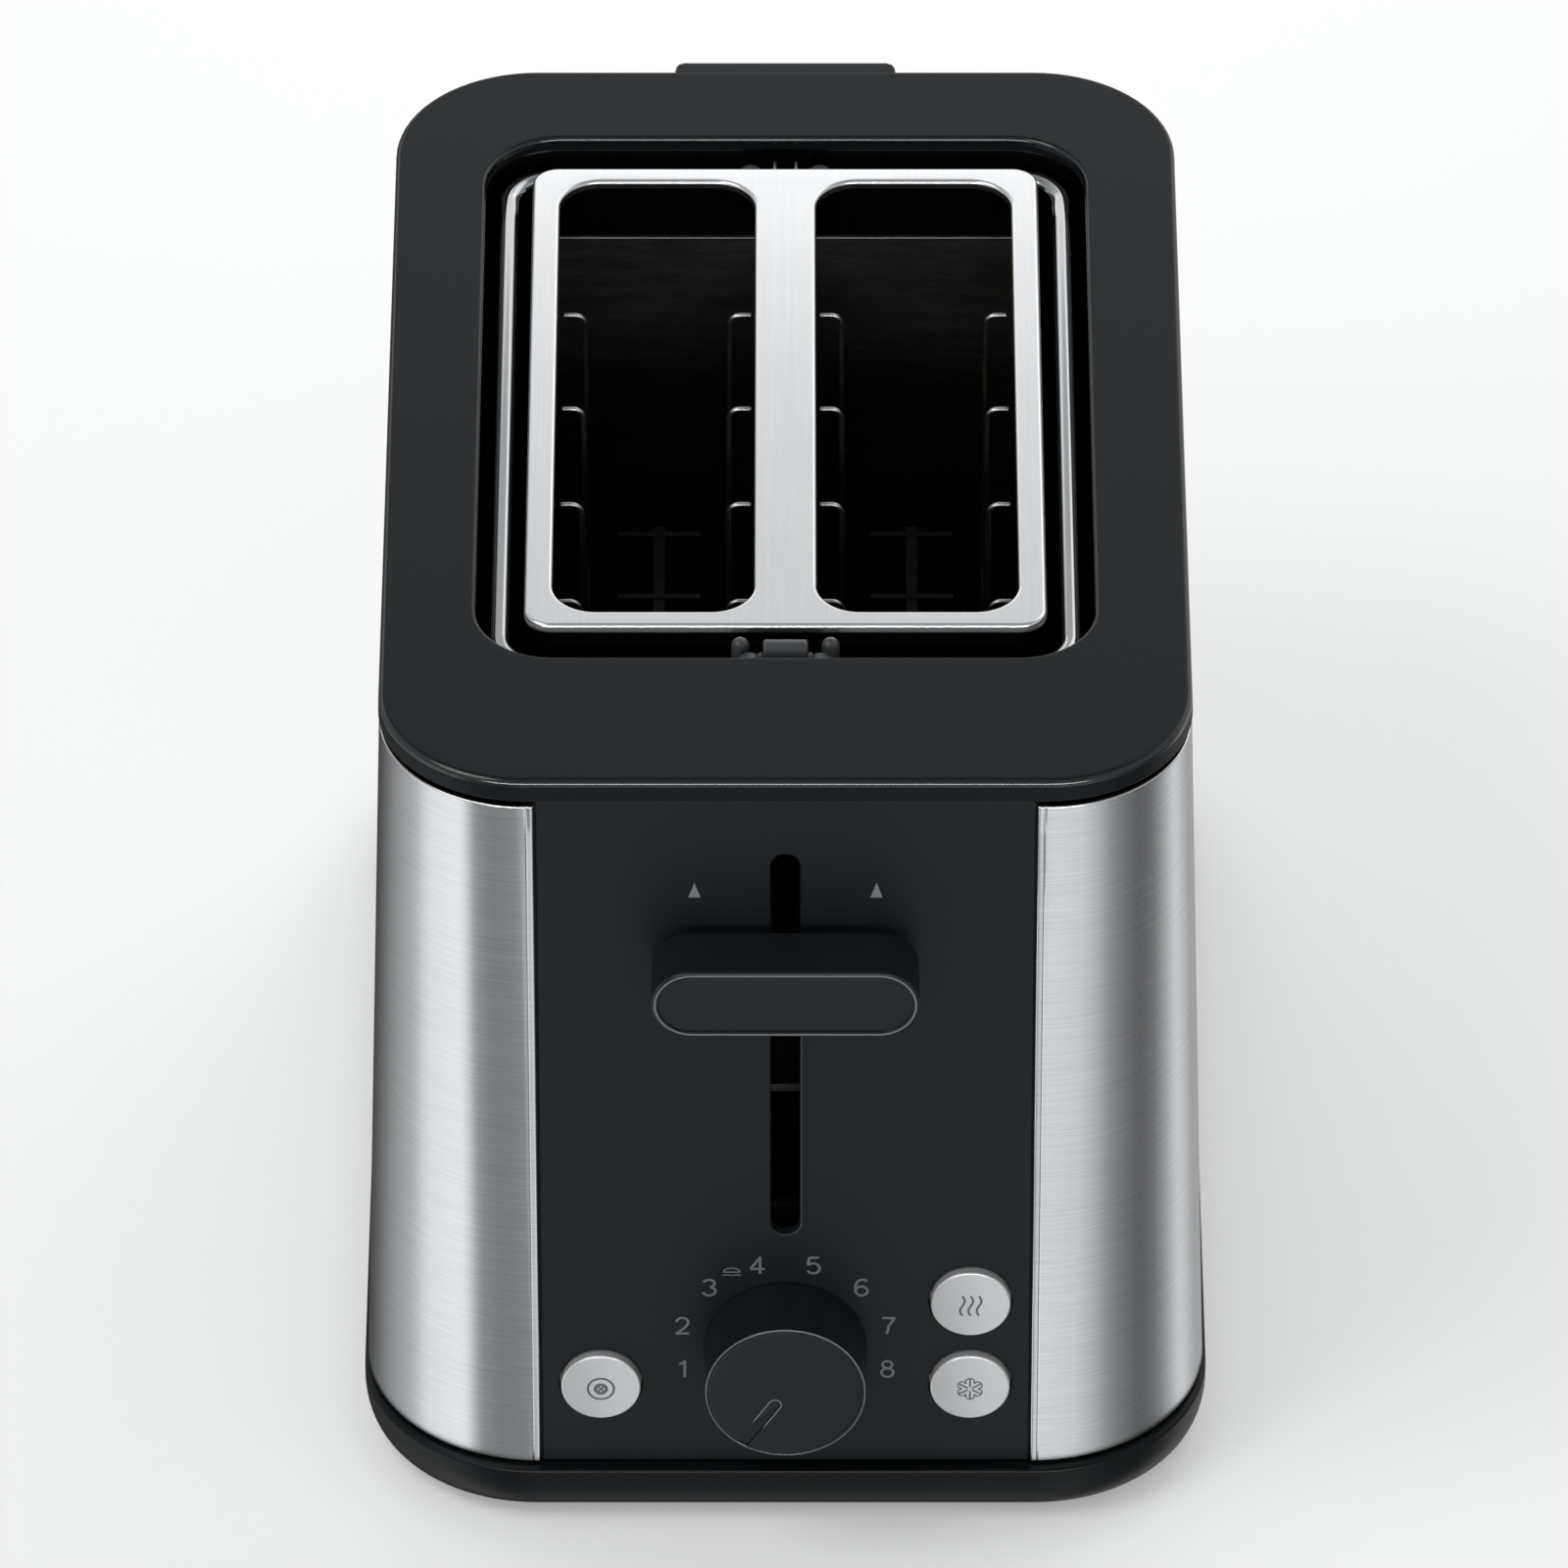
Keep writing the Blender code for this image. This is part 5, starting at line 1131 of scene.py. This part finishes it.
def makeSpacer():
    topZ, bottomZ = upFront(lug["top"]), upFront(lug["bottom"])
    under = upFront(rimLow.z + lug["tongueGap"])
    depth, edge = lug["depth"], lug["edge"]
    profile = [(-lug["root"], bottomZ)]
    profile += [(depth - 2 * edge + 2 * edge * math.sin(t), bottomZ + 2 * edge * (1 - math.cos(t)))
                for t in (math.pi / 2 * i / lug["steps"] for i in range(lug["steps"] + 1))]
    profile += [(depth - edge + c, topZ - edge + s) for c, s in fillet(edge, 0, 90, lug["steps"])]
    profile += [(lug["step"], topZ), (lug["step"], under), (-lug["backing"], under)]
    shape = Shape(rearPlace)
    half, ends = lug["width"] / 2, lug["endEdge"]
    stations = [(-half + ends + c, ends - s) for c, s in fillet(ends, 180, 90, 5)]
    stations += [(half - ends + c, ends - s) for c, s in fillet(ends, 90, 0, 5)]
    shape.loft([
        [(x, -min(y, depth - inset) if y > lug["step"] else -y, z) for y, z in profile]
        for x, inset in stations
    ])
    makePiece("rearSpacer", shape, "panel", "housing", ["rear_spacer"])


makeSpacer()

tub = {"undercut": 4.5, "lip": 0.8, "wall": 6.0, "floor": 3.0, "steps": 14, "bottomInset": 0.8,
       "bottomRise": 0.1, "curve": 0.8, "mouthClear": 1.0, "mouthFront": 9, "mouthTop": 2.0,
       "mouthEnd": 160, "screwHole": 2.2, "screwRecess": 4.0, "recessDepth": 2.0, "cut": 5,
       "cutTop": 20, "hair": 0.0003}
baseHalf = Vector((baseHigh.x, (baseHigh.y - baseLow.y) / 2))
baseY = (baseHigh.y + baseLow.y) / 2


def basePlan(inset):
    radius = cornerRadius(baseHigh.z)
    return roundedPlan(baseHalf.x - inset, baseHalf.y - inset, radius - inset, (0, baseY), 24)


def makeBase():
    low, high = baseLow.z, baseHigh.z
    shape = Shape()
    lip, under = tub["lip"], tub["undercut"]
    sections = [atHeight(basePlan(under + tub["bottomInset"]), low)]
    for i in range(tub["steps"] + 1):
        t = math.pi / 2 * i / tub["steps"]
        z = low + (high - lip - low) * (1 - math.cos(t)) * tub["curve"] + tub["bottomRise"]
        sections.append(atHeight(basePlan(under * (1 - math.sin(t))), z))
    for c, s in fillet(lip, 0, 90, 6):
        sections.append(atHeight(basePlan(lip - c), high - lip + s))
    sections.append(atHeight(basePlan(tub["wall"]), high))
    sections.append(atHeight(basePlan(tub["wall"]), low + tub["floor"]))
    shape.loft(sections)
    trayHigh = cadBox("crumb_tray")[1]
    half, start, end = trayHigh.x + tub["mouthClear"], trayHigh.y - tub["mouthFront"], tub["mouthEnd"]
    mouthPlan = [(-half, start), (half, start), (half, end), (-half, end)]
    mouth = Shape()
    mouth.loft([atHeight(mouthPlan, low + tub["floor"] - tub["hair"]),
                atHeight(mouthPlan, trayHigh.z + tub["mouthTop"])])
    tools = [mouth]
    for i in range(1, 5):
        screwLow, screwHigh = cadBox(f"base_screw_{i}")
        centre = ((screwLow.x + screwHigh.x) / 2, (screwLow.y + screwHigh.y) / 2)
        hole, recess = Shape(), Shape()
        hole.loft([atHeight(circlePlan(tub["screwHole"], centre, 32), low + z)
                   for z in (-tub["cut"], tub["cutTop"])])
        recess.loft([atHeight(circlePlan(tub["screwRecess"], centre, 32), low + z)
                     for z in (-tub["cut"], tub["recessDepth"])])
        tools += [hole, recess]
    shape = carve(shape, tools)
    makePiece("baseTray", shape, "base", "housing", ["base"])


makeBase()

footProfile = ((0, 0.6), (2.2, 0.55), (2.6, 0.05), (6.8, 0), (7.3, 0.25), (7.45, 0.8))  # dished underside


def makeFeet():
    for end in ("front", "rear"):
        for side in ("left", "right"):
            name = f"foot_{end}_{side}"
            low, high = cadBox(name)
            shape = Shape(Matrix.Translation(((low.x + high.x) / 2, (low.y + high.y) / 2, 0)))
            rim = [(footProfile[-1][0], high.z), (0, high.z)]
            shape.turn(list(footProfile) + rim, 48)
            label = f"rubberFoot{end.title()}{side.title()}"
            makePiece(label, shape, "rubber", "housing", [name])


makeFeet()


handle = {"lowEdge": 1.6, "topEdge": 1.2, "ease": 0.05, "endEdge": 1.2, "endShare": 0.8, "gripHalf": 16,
          "gripDeep": 2.2, "gripOut": 0.6, "gripTop": 3.6}


def makeTrayHandle():
    low, high = cadBox("tray_handle")
    lowEdge, topEdge, ease, ends = (handle[key] for key in ("lowEdge", "topEdge", "ease", "endEdge"))
    profile = [(low.y, low.z), (high.y - lowEdge, low.z)]
    profile += [(high.y - lowEdge + c, low.z + lowEdge + s) for c, s in fillet(lowEdge - ease, -90, 0, 6)]
    profile += [(high.y - topEdge + c, high.z - topEdge + s) for c, s in fillet(topEdge - ease, 0, 90, 6)]
    profile += [(low.y, high.z)]
    shape = Shape()
    stations = [(low.x + ends + c, ends - s) for c, s in fillet(ends, 180, 90, 5)]
    stations += [(high.x - ends + c, ends - s) for c, s in fillet(ends, 90, 0, 5)]
    shape.loft([
        [(x, min(y, high.y - inset * handle["endShare"]), z) for y, z in profile] for x, inset in stations
    ])
    grip = Shape()
    plan = stadium((0, high.y + handle["gripOut"]), handle["gripHalf"], handle["gripDeep"])(0)
    grip.loft([atHeight(plan, z) for z in (low.z - 1, low.z + handle["gripTop"])])
    shape = carve(shape, [grip])
    makePiece("trayHandle", shape, "base", "crumb_tray", ["tray_handle"])


makeTrayHandle()
print("panels and base made")


lever = {"edge": 0.75, "border": 0.55, "trim": 0.4, "dish": 0.35, "backEdge": 0.5, "dishEdge": 0.15,
         "dishRun": 1.5, "dishFall": 0.02, "trimInset": 0.35, "trimTop": 0.004, "trimDepth": 0.1}


def makeLeverKnob():
    low, high = cadBox("lever_knob")
    halfX, halfZ = high.x, (high.z - low.z) / 2
    depth = high.y - low.y
    centre = Vector((0, low.y, (low.z + high.z) / 2))
    place = Matrix.Translation(centre) @ layFlat  # z out of the front
    outline = stadium((0, 0), halfX, halfZ, 24)
    edge, border, trim, dish = lever["edge"], lever["border"], lever["trim"], lever["dish"]
    shape = Shape(place)
    back, inner = lever["backEdge"], edge + border
    sections = [atHeight(outline(back), -depth), atHeight(outline(0), -depth + back)]
    sections += [atHeight(outline(edge - c), s - edge) for c, s in fillet(edge, 0, 90, 8)]
    sections += [atHeight(outline(inner), 0), atHeight(outline(inner + lever["dishEdge"]), -dish)]
    sections += [atHeight(outline(inner + lever["dishRun"]), -dish - lever["dishFall"])]
    shape.loft(sections)
    makePiece("leverKnob", shape, "knob", "carriage", ["lever_knob"])
    # a lighter line just inside the face's rounded edge: partly trim, partly painted highlight of that
    # edge
    line = Shape(place)
    near = inner - lever["trimInset"]
    far, high, low = near - trim, lever["trimTop"], -lever["trimDepth"]
    corners = ((near, high), (far, high), (far, low), (near, low))
    line.loft([atHeight(outline(inset), z) for inset, z in corners], loop=True)
    makePiece("leverTrimWithHighlight", line, "trim", "carriage")


dial = {  # low, high and bore are along the knob's axis, from the front's face
    "low": -0.3, "high": 15.4, "bore": 10.0, "boreRadius": 3.3, "wide": 17.2, "wideEdge": 0.3,
    "tip": 16.9, "edge": 0.55, "dish": ((0.5, 0), (0.7, 0.12)), "dishMiddle": (8, 0.2), "dishDeep": 0.22,
    "pointer": -146.6, "grooveHalf": 1.2, "grooveStart": 4.0, "grooveEnd": 19.0, "grooveDepth": 0.5,
    "lineGap": 0.12, "lineEnd": 15.9, "lineWide": 0.22, "lineHeight": 0.04, "lineDrop": 0.21,
    "rimLine": 0.17, "rimShare": 0.42,
}


def makeBrowningKnob():
    low, high, wide, tip, edge = (dial[key] for key in ("low", "high", "wide", "tip", "edge"))
    bore, deep, ease = dial["boreRadius"], dial["bore"], dial["wideEdge"]
    shape = Shape(frontFlat)
    profile = [(0, deep), (bore, deep), (bore, low), (wide - ease, low), (wide, low + ease)]
    profile += [(tip - edge + c, high - edge + s) for c, s in fillet(edge, 0, 90, 8)]
    profile += [(tip - edge - inset, high - fall) for inset, fall in dial["dish"]]
    profile += [(dial["dishMiddle"][0], high - dial["dishMiddle"][1]), (0, high - dial["dishDeep"])]
    shape.turn(profile, 144)
    turn = math.radians(dial["pointer"])
    along = Vector((math.sin(turn), math.cos(turn)))
    across = Vector((along.y, -along.x))
    half, start, reach = dial["grooveHalf"], dial["grooveStart"], dial["grooveEnd"]

    def grooveEnd(half):
        return [along * start + (along * -math.cos(t) + across * math.sin(t)) * half
                for t in (math.pi * i / 16 - math.pi / 2 for i in range(17))]

    groove = Shape(frontFlat)
    plan = grooveEnd(half) + [along * reach + across * half, along * reach - across * half]
    groove.loft([atHeight(plan, z) for z in (high - dial["grooveDepth"], high + 2)])
    shape = carve(shape, [groove])
    makePiece("browningKnob", shape, "knob", "browning_knob", ["browning_knob"])
    # the ring round the face's rim edge is a painted highlight of the rounded rim; the strokes along the
    # pointer groove outline it
    lines = Shape(frontFlat)
    drop = edge * dial["rimShare"]
    circle = [(x, y, high - drop) for x, y in circlePlan(tip - drop, steps=120)]
    lines.tube(circle, dial["rimLine"], 8, closed=True)
    outer, end = half + dial["lineGap"], along * dial["lineEnd"]
    path = [end - across * outer] + grooveEnd(outer) + [end + across * outer]
    ribbonOn(lines, path, dial["lineWide"], dial["lineHeight"], lambda x, y: high - dial["lineDrop"])
    makePiece("browningKnobLines", lines, "line", "browning_knob")


button = {"proud": 1.6, "crown": 0.55, "radius": 8.4, "edge": 0.5, "rimShare": 0.94, "flange": 1.15,
          "flangeTop": -3.35, "flangeLow": -4.65, "tail": 2.45, "tailEnd": -9.9, "markHeight": 0.03,
          "rings": (0, 0.2, 0.4, 0.6, 0.8, 0.9), "skirt": 0.15}


def domeHeight(radius):
    return button["proud"] - button["crown"] * (radius / button["radius"]) ** 2


def ribbonOn(shape, path, width, lift, height):  # a low flat stroke over a surface given by height(x, y)
    path = [Vector(p) for p in path]
    sections = []
    for i, point in enumerate(path):
        along = (path[min(i + 1, len(path) - 1)] - path[max(i - 1, 0)]).normalized()
        across = Vector((-along.y, along.x)) * width / 2
        left, right = point + across, point - across
        level = height(point.x, point.y)
        root, shoulder = level - button["skirt"], level + lift * 0.6
        near, crest, far = (left.x, left.y), (point.x, point.y, level + lift), (right.x, right.y)
        sections.append([near + (root,), near + (shoulder,), crest, far + (shoulder,), far + (root,)])
    shape.loft(sections)


def ringPath(radius, steps):
    turns = [2 * math.pi * i / steps for i in range(steps + 1)]
    return [(radius * math.cos(t), radius * math.sin(t)) for t in turns]


def cancelIcon():  # two rings and a cross
    strokes = [(ringPath(2.75, 48), 0.5), (ringPath(1.15, 32), 0.75)]
    for turn in (45, 135):
        t = math.radians(turn)
        reach = Vector((math.cos(t), math.sin(t)))
        strokes.append(([-reach, reach * 0, reach], 0.42))
    return strokes


def reheatIcon():  # three rising waves
    wave = [(0.48 * math.sin(2 * math.pi * i / 20), 2.6 - 5.2 * i / 20) for i in range(21)]
    return [([(x + across, up) for across, up in wave], 0.5) for x in (-1.75, 0, 1.75)]


def defrostIcon():  # a six-armed snowflake
    strokes = []
    for k in range(6):
        t = math.pi / 3 * k + math.pi / 6
        out = Vector((math.cos(t), math.sin(t)))
        side = Vector((-out.y, out.x))
        strokes.append(([out * 0.5, out * 1.6, out * 2.9], 0.38))
        bends = ((1.45, 0.85), (2.35, 0.9), (2.75, 0.35), (2.75, -0.35), (2.35, -0.9), (1.45, -0.85))
        strokes.append(([out * ahead + side * aside for ahead, aside in bends], 0.32))
    return strokes


def makeButton(node, icon, label):  # each button is a body of its own, named as its node
    place = buttons[node]
    about = frontFlat @ Matrix.Translation((place.x, upFront(place.z), 0))
    shape = Shape(about)
    radius, edge, flange, tail = (button[key] for key in ("radius", "edge", "flange", "tail"))
    profile = [(radius * share, domeHeight(radius * share)) for share in button["rings"]]
    rimTop = domeHeight(radius * button["rimShare"])
    profile += [(radius - edge + c, rimTop - edge + s) for c, s in fillet(edge, 75, 0, 7)]
    profile += [(radius, button["flangeTop"]), (radius + flange, button["flangeTop"]),
                (radius + flange, button["flangeLow"]), (tail, button["flangeLow"]),
                (tail, button["tailEnd"]), (0, button["tailEnd"])]
    shape.turn(profile, 96)
    makePiece(label, shape, "button", node, [node])
    marks = Shape(about)
    for path, width in icon:
        ribbonOn(marks, path, width, button["markHeight"], lambda x, y: domeHeight(math.hypot(x, y)))
    makePiece(label + "Icon", marks, "iconInk", node)


makeButton("cancel_button", cancelIcon(), "cancelButton")
makeButton("reheat_button", reheatIcon(), "reheatButton")
makeButton("defrost_button", defrostIcon(), "defrostButton")
makeLeverKnob()
makeBrowningKnob()

printing = {"radius": 22.4, "turns": (106, 76, 45.6, 15.2), "digitHeight": 4.5, "thick": 0.02,
            "bun": (-11.3, 19.7), "arrows": 18.8, "arrowHeight": 166.1}


def arcStroke(cx, cy, rx, ry, start, end, steps=14):
    turns = [math.radians(start + (end - start) * i / steps) for i in range(steps + 1)]
    return [(cx + rx * math.cos(t), cy + ry * math.sin(t)) for t in turns]


digitStrokes = {  # each digit one unit tall
    1: [[(0.06, 0), (0.06, 1)], [(0.06, 0.97), (-0.02, 0.84), (-0.2, 0.78)]],
    2: [arcStroke(0, 0.70, 0.28, 0.27, 175, -25) + [(0.1, 0.38), (-0.29, 0.03)],
        [(-0.32, 0.04), (0.31, 0.04)]],
    3: [arcStroke(-0.01, 0.75, 0.25, 0.22, 165, -80), arcStroke(-0.01, 0.28, 0.29, 0.25, 80, -165)],
    4: [[(0.12, 0), (0.12, 1)], [(0.12, 0.96), (-0.33, 0.3)], [(-0.35, 0.29), (0.34, 0.29)]],
    5: [[(0.26, 0.96), (-0.19, 0.96)], [(-0.19, 0.98), (-0.25, 0.5)],
        arcStroke(0, 0.32, 0.29, 0.30, 145, -155, 20)],
    6: [arcStroke(0, 0.3, 0.28, 0.27, 0, 360, 28), arcStroke(0.04, 0.52, 0.33, 0.45, 200, 48)],
    7: [[(-0.3, 0.96), (0.31, 0.96)], [(0.28, 0.95), (0.02, 0.5), (-0.08, 0)]],
    8: [arcStroke(0, 0.75, 0.23, 0.21, 0, 360, 24), arcStroke(0, 0.27, 0.28, 0.25, 0, 360, 28)],
}


def digitShape(digit, height, place):
    shape = Shape(place)
    for path in digitStrokes[digit]:
        ribbonOn(shape, [(x * height, (y - 0.5) * height) for x, y in path], 0.125 * height,
                 printing["thick"], lambda x, y: 0)
    return shape


def makePrints():
    face = -panel["recess"]
    turns = [-t for t in printing["turns"]] + list(reversed(printing["turns"]))
    marks = Shape()
    for digit, turn in enumerate(turns, 1):
        t = math.radians(turn)
        spot = Vector((math.sin(t), math.cos(t), 0)) * printing["radius"]
        about = frontFlat @ Matrix.Translation((spot.x, spot.y, face))
        marks.join(digitShape(digit, printing["digitHeight"], about))
    bunX, bunZ = printing["bun"]
    about = frontFlat @ Matrix.Translation((bunX, bunZ, face))
    bun = Shape(about)
    dome = [(1.7 * math.cos(t), 0.1 + 1.1 * math.sin(t)) for t in (math.pi * i / 16 for i in range(17))]
    sole = [(-1.7, 0.1), (0, 0.1), (1.7, 0.1)]
    plinth = [(-2.0, -0.75), (-1.0, -0.6), (0, -0.8), (1.0, -0.6), (2.0, -0.75)]
    for path, width in ((dome, 0.3), (sole, 0.3), (plinth, 0.26)):
        ribbonOn(bun, path, width, 0.02, lambda x, y: 0)
    marks.join(bun)
    makePiece("browningScale", marks, "scaleInk", "housing")
    arrows = Shape()
    for x in (-printing["arrows"], printing["arrows"]):
        z = upFront(printing["arrowHeight"])
        outline = [(x - 1.25, z - 1.9), (x + 1.25, z - 1.9), (x, z + 1.9)]
        one = Shape(frontFlat)
        one.loft([atHeight(outline, face - 0.05), atHeight(outline, face + 0.02)])
        arrows.join(one)
    low, high, edge = upFront(leverSlot["low"]), upFront(stemHigh.z), leverSlot["half"]
    # the stroke runs down the slot's right side and round its lower right: a painted highlight of the lip
    lip = Shape(frontFlat)
    wide = edge + leverSlot["lipGap"]
    path = [(wide, high), (wide, low + edge)]
    path += [(x, low + edge + y) for x, y in arcStroke(0, 0, wide, wide, 0, -60, 10)]
    ribbonOn(lip, path, leverSlot["lipWide"], leverSlot["lipHeight"], lambda x, y: face)
    makePiece("leverSlotLip", lip, "slotLip", "housing")
    makePiece("arrowPrints", arrows, "arrowInk", "housing")


makePrints()
print("controls made")


guide = {"wire": 0.55, "rail": 0.7, "bend": 2.4, "steps": 8, "innerWell": 30, "innerEdge": 6.6,
         "outerEdge": 48.6, "fromEdge": 5.5, "upperShare": 0.55, "wires": 4, "pitch": 33.6, "hook": 4.9}


def domedRod(shape, path, radius, sides=16):  # a wire with rounded ends
    path = [Vector(p) for p in path]
    first, last = (path[0] - path[1]).normalized(), (path[-1] - path[-2]).normalized()
    turns = (math.pi / 2, 1.0, 0.5, 0.05)
    start = [path[0] - first * radius * (1 - math.sin(t)) for t in turns]
    end = [path[-1] - last * radius * (1 - math.sin(t)) for t in reversed(turns)]
    widths = [radius * math.cos(t) for t in (math.pi / 2 - 0.05,) + turns[1:]]
    between = [radius] * (len(path) - 2)
    shape.tube(start + path[1:-1] + end, widths + between + widths[::-1], sides)


def makeGuide(name, node, body):
    low, high = cadBox(node)
    inner = min(abs(low.x), abs(high.x)) < guide["innerWell"]
    side = 1 if high.x > 0 else -1
    edge = (guide["innerEdge"] if inner else guide["outerEdge"]) * side
    inward = side if inner else -side
    x = edge + inward * guide["fromEdge"]
    wireTop, foot = high.z - guide["wire"], low.z + guide["rail"]
    upper = foot + guide["upperShare"] * (wireTop - foot)
    middle, wires = (low.y + high.y) / 2, guide["wires"]
    shape = Shape()
    for z in (foot, upper):
        domedRod(shape, [(x, low.y, z), (x, middle, z), (x, high.y, z)], guide["rail"])
    for i in range(wires):
        y = middle + (i - (wires - 1) / 2) * guide["pitch"]
        corners = [(x, y, foot), (x, y, wireTop), (x - inward * guide["hook"], y, wireTop)]
        domedRod(shape, bent(corners, guide["bend"], guide["steps"]), guide["wire"], 14)
    makePiece(name, shape, "guide", body, [node])


for name, side in (("Left", "left"), ("Right", "right")):
    for where in ("outer", "inner"):
        makeGuide(f"guide{name}{where.title()}", f"bread_guide_{side}_{where}", f"guide_{side}_{where}")

heater = {"runs": 7, "wide": 0.9, "thick": 0.12, "turn": 1.6}


def makeRibbon(name, node):
    low, high = cadBox(node)
    x = (low.x + high.x) / 2
    runs = heater["runs"]
    radius = (high.x - low.x) / 2
    points = []
    near, far = low.y + radius, high.y - radius
    step = (high.z - low.z - 2 * radius) / (runs - 1)
    for run in range(runs):
        ends = (near, far) if run % 2 == 0 else (far, near)
        points += [(x, y, low.z + radius + run * step) for y in ends]
    path = bent(points, heater["turn"], 6)
    shape = Shape()
    wide = heater["wide"] / 2
    sections = []
    for i, point in enumerate(path):
        along = (path[min(i + 1, len(path) - 1)] - path[max(i - 1, 0)]).normalized()
        across = Vector((1, 0, 0)).cross(along).normalized() * wide
        flat = Vector((heater["thick"] / 2, 0, 0))
        sections.append([point + across + flat, point - across + flat, point - across - flat,
                         point + across - flat])
    shape.loft(sections)
    makePiece(name, shape, "ribbon", "housing", [node])


for side in ("left", "right"):
    for where in ("outer", "inner"):
        makeRibbon(f"ribbon{side.title()}{where.title()}", f"heating_element_{side}_{where}")


fold = {"height": 173.2, "radius": 0.45, "half": 58.0, "sink": 0.4, "sides": 12}


def makeRearFold():  # the raw upper edge of the rear bulkhead, turned over
    low = cadBox("rear_bulkhead")[0]
    shape = Shape()
    y, z = low.y - fold["radius"] * fold["sink"], fold["height"]
    domedRod(shape, [(x, y, z) for x in (-fold["half"], 0, fold["half"])], fold["radius"], fold["sides"])
    makePiece("rearFold", shape, "inner", "housing")


makeRearFold()

carried = {
    "inner": ["rear_bulkhead", "reflector_left", "reflector_right", "armature_plate", "crumb_tray"],
    # parts seen through the lever slot take the steel darkened as painted shade
    "blackened": ["front_bulkhead", "lever_stem", "carriage", "rod_bracket"],
    "turned": ["knob_shaft", "guide_rod_left", "guide_rod_right", "base_screw_1", "base_screw_2",
               "base_screw_3", "base_screw_4", "return_spring"],
    "lifter": ["bread_lifter_left", "bread_lifter_right"],
    "mica": ["heater_board_left_outer", "heater_board_left_inner", "heater_board_right_inner",
             "heater_board_right_outer"],
    "coil": ["electromagnet"],
    "laminate": ["control_board"],
    "base": ["potentiometer"],
    "terminal": ["terminal_block"],
}
for finish, names in carried.items():
    for name in names:
        part = frame["nodes"][name]
        part.data.materials.clear()
        part.data.materials.append(finishes[finish])
print("chamber made")
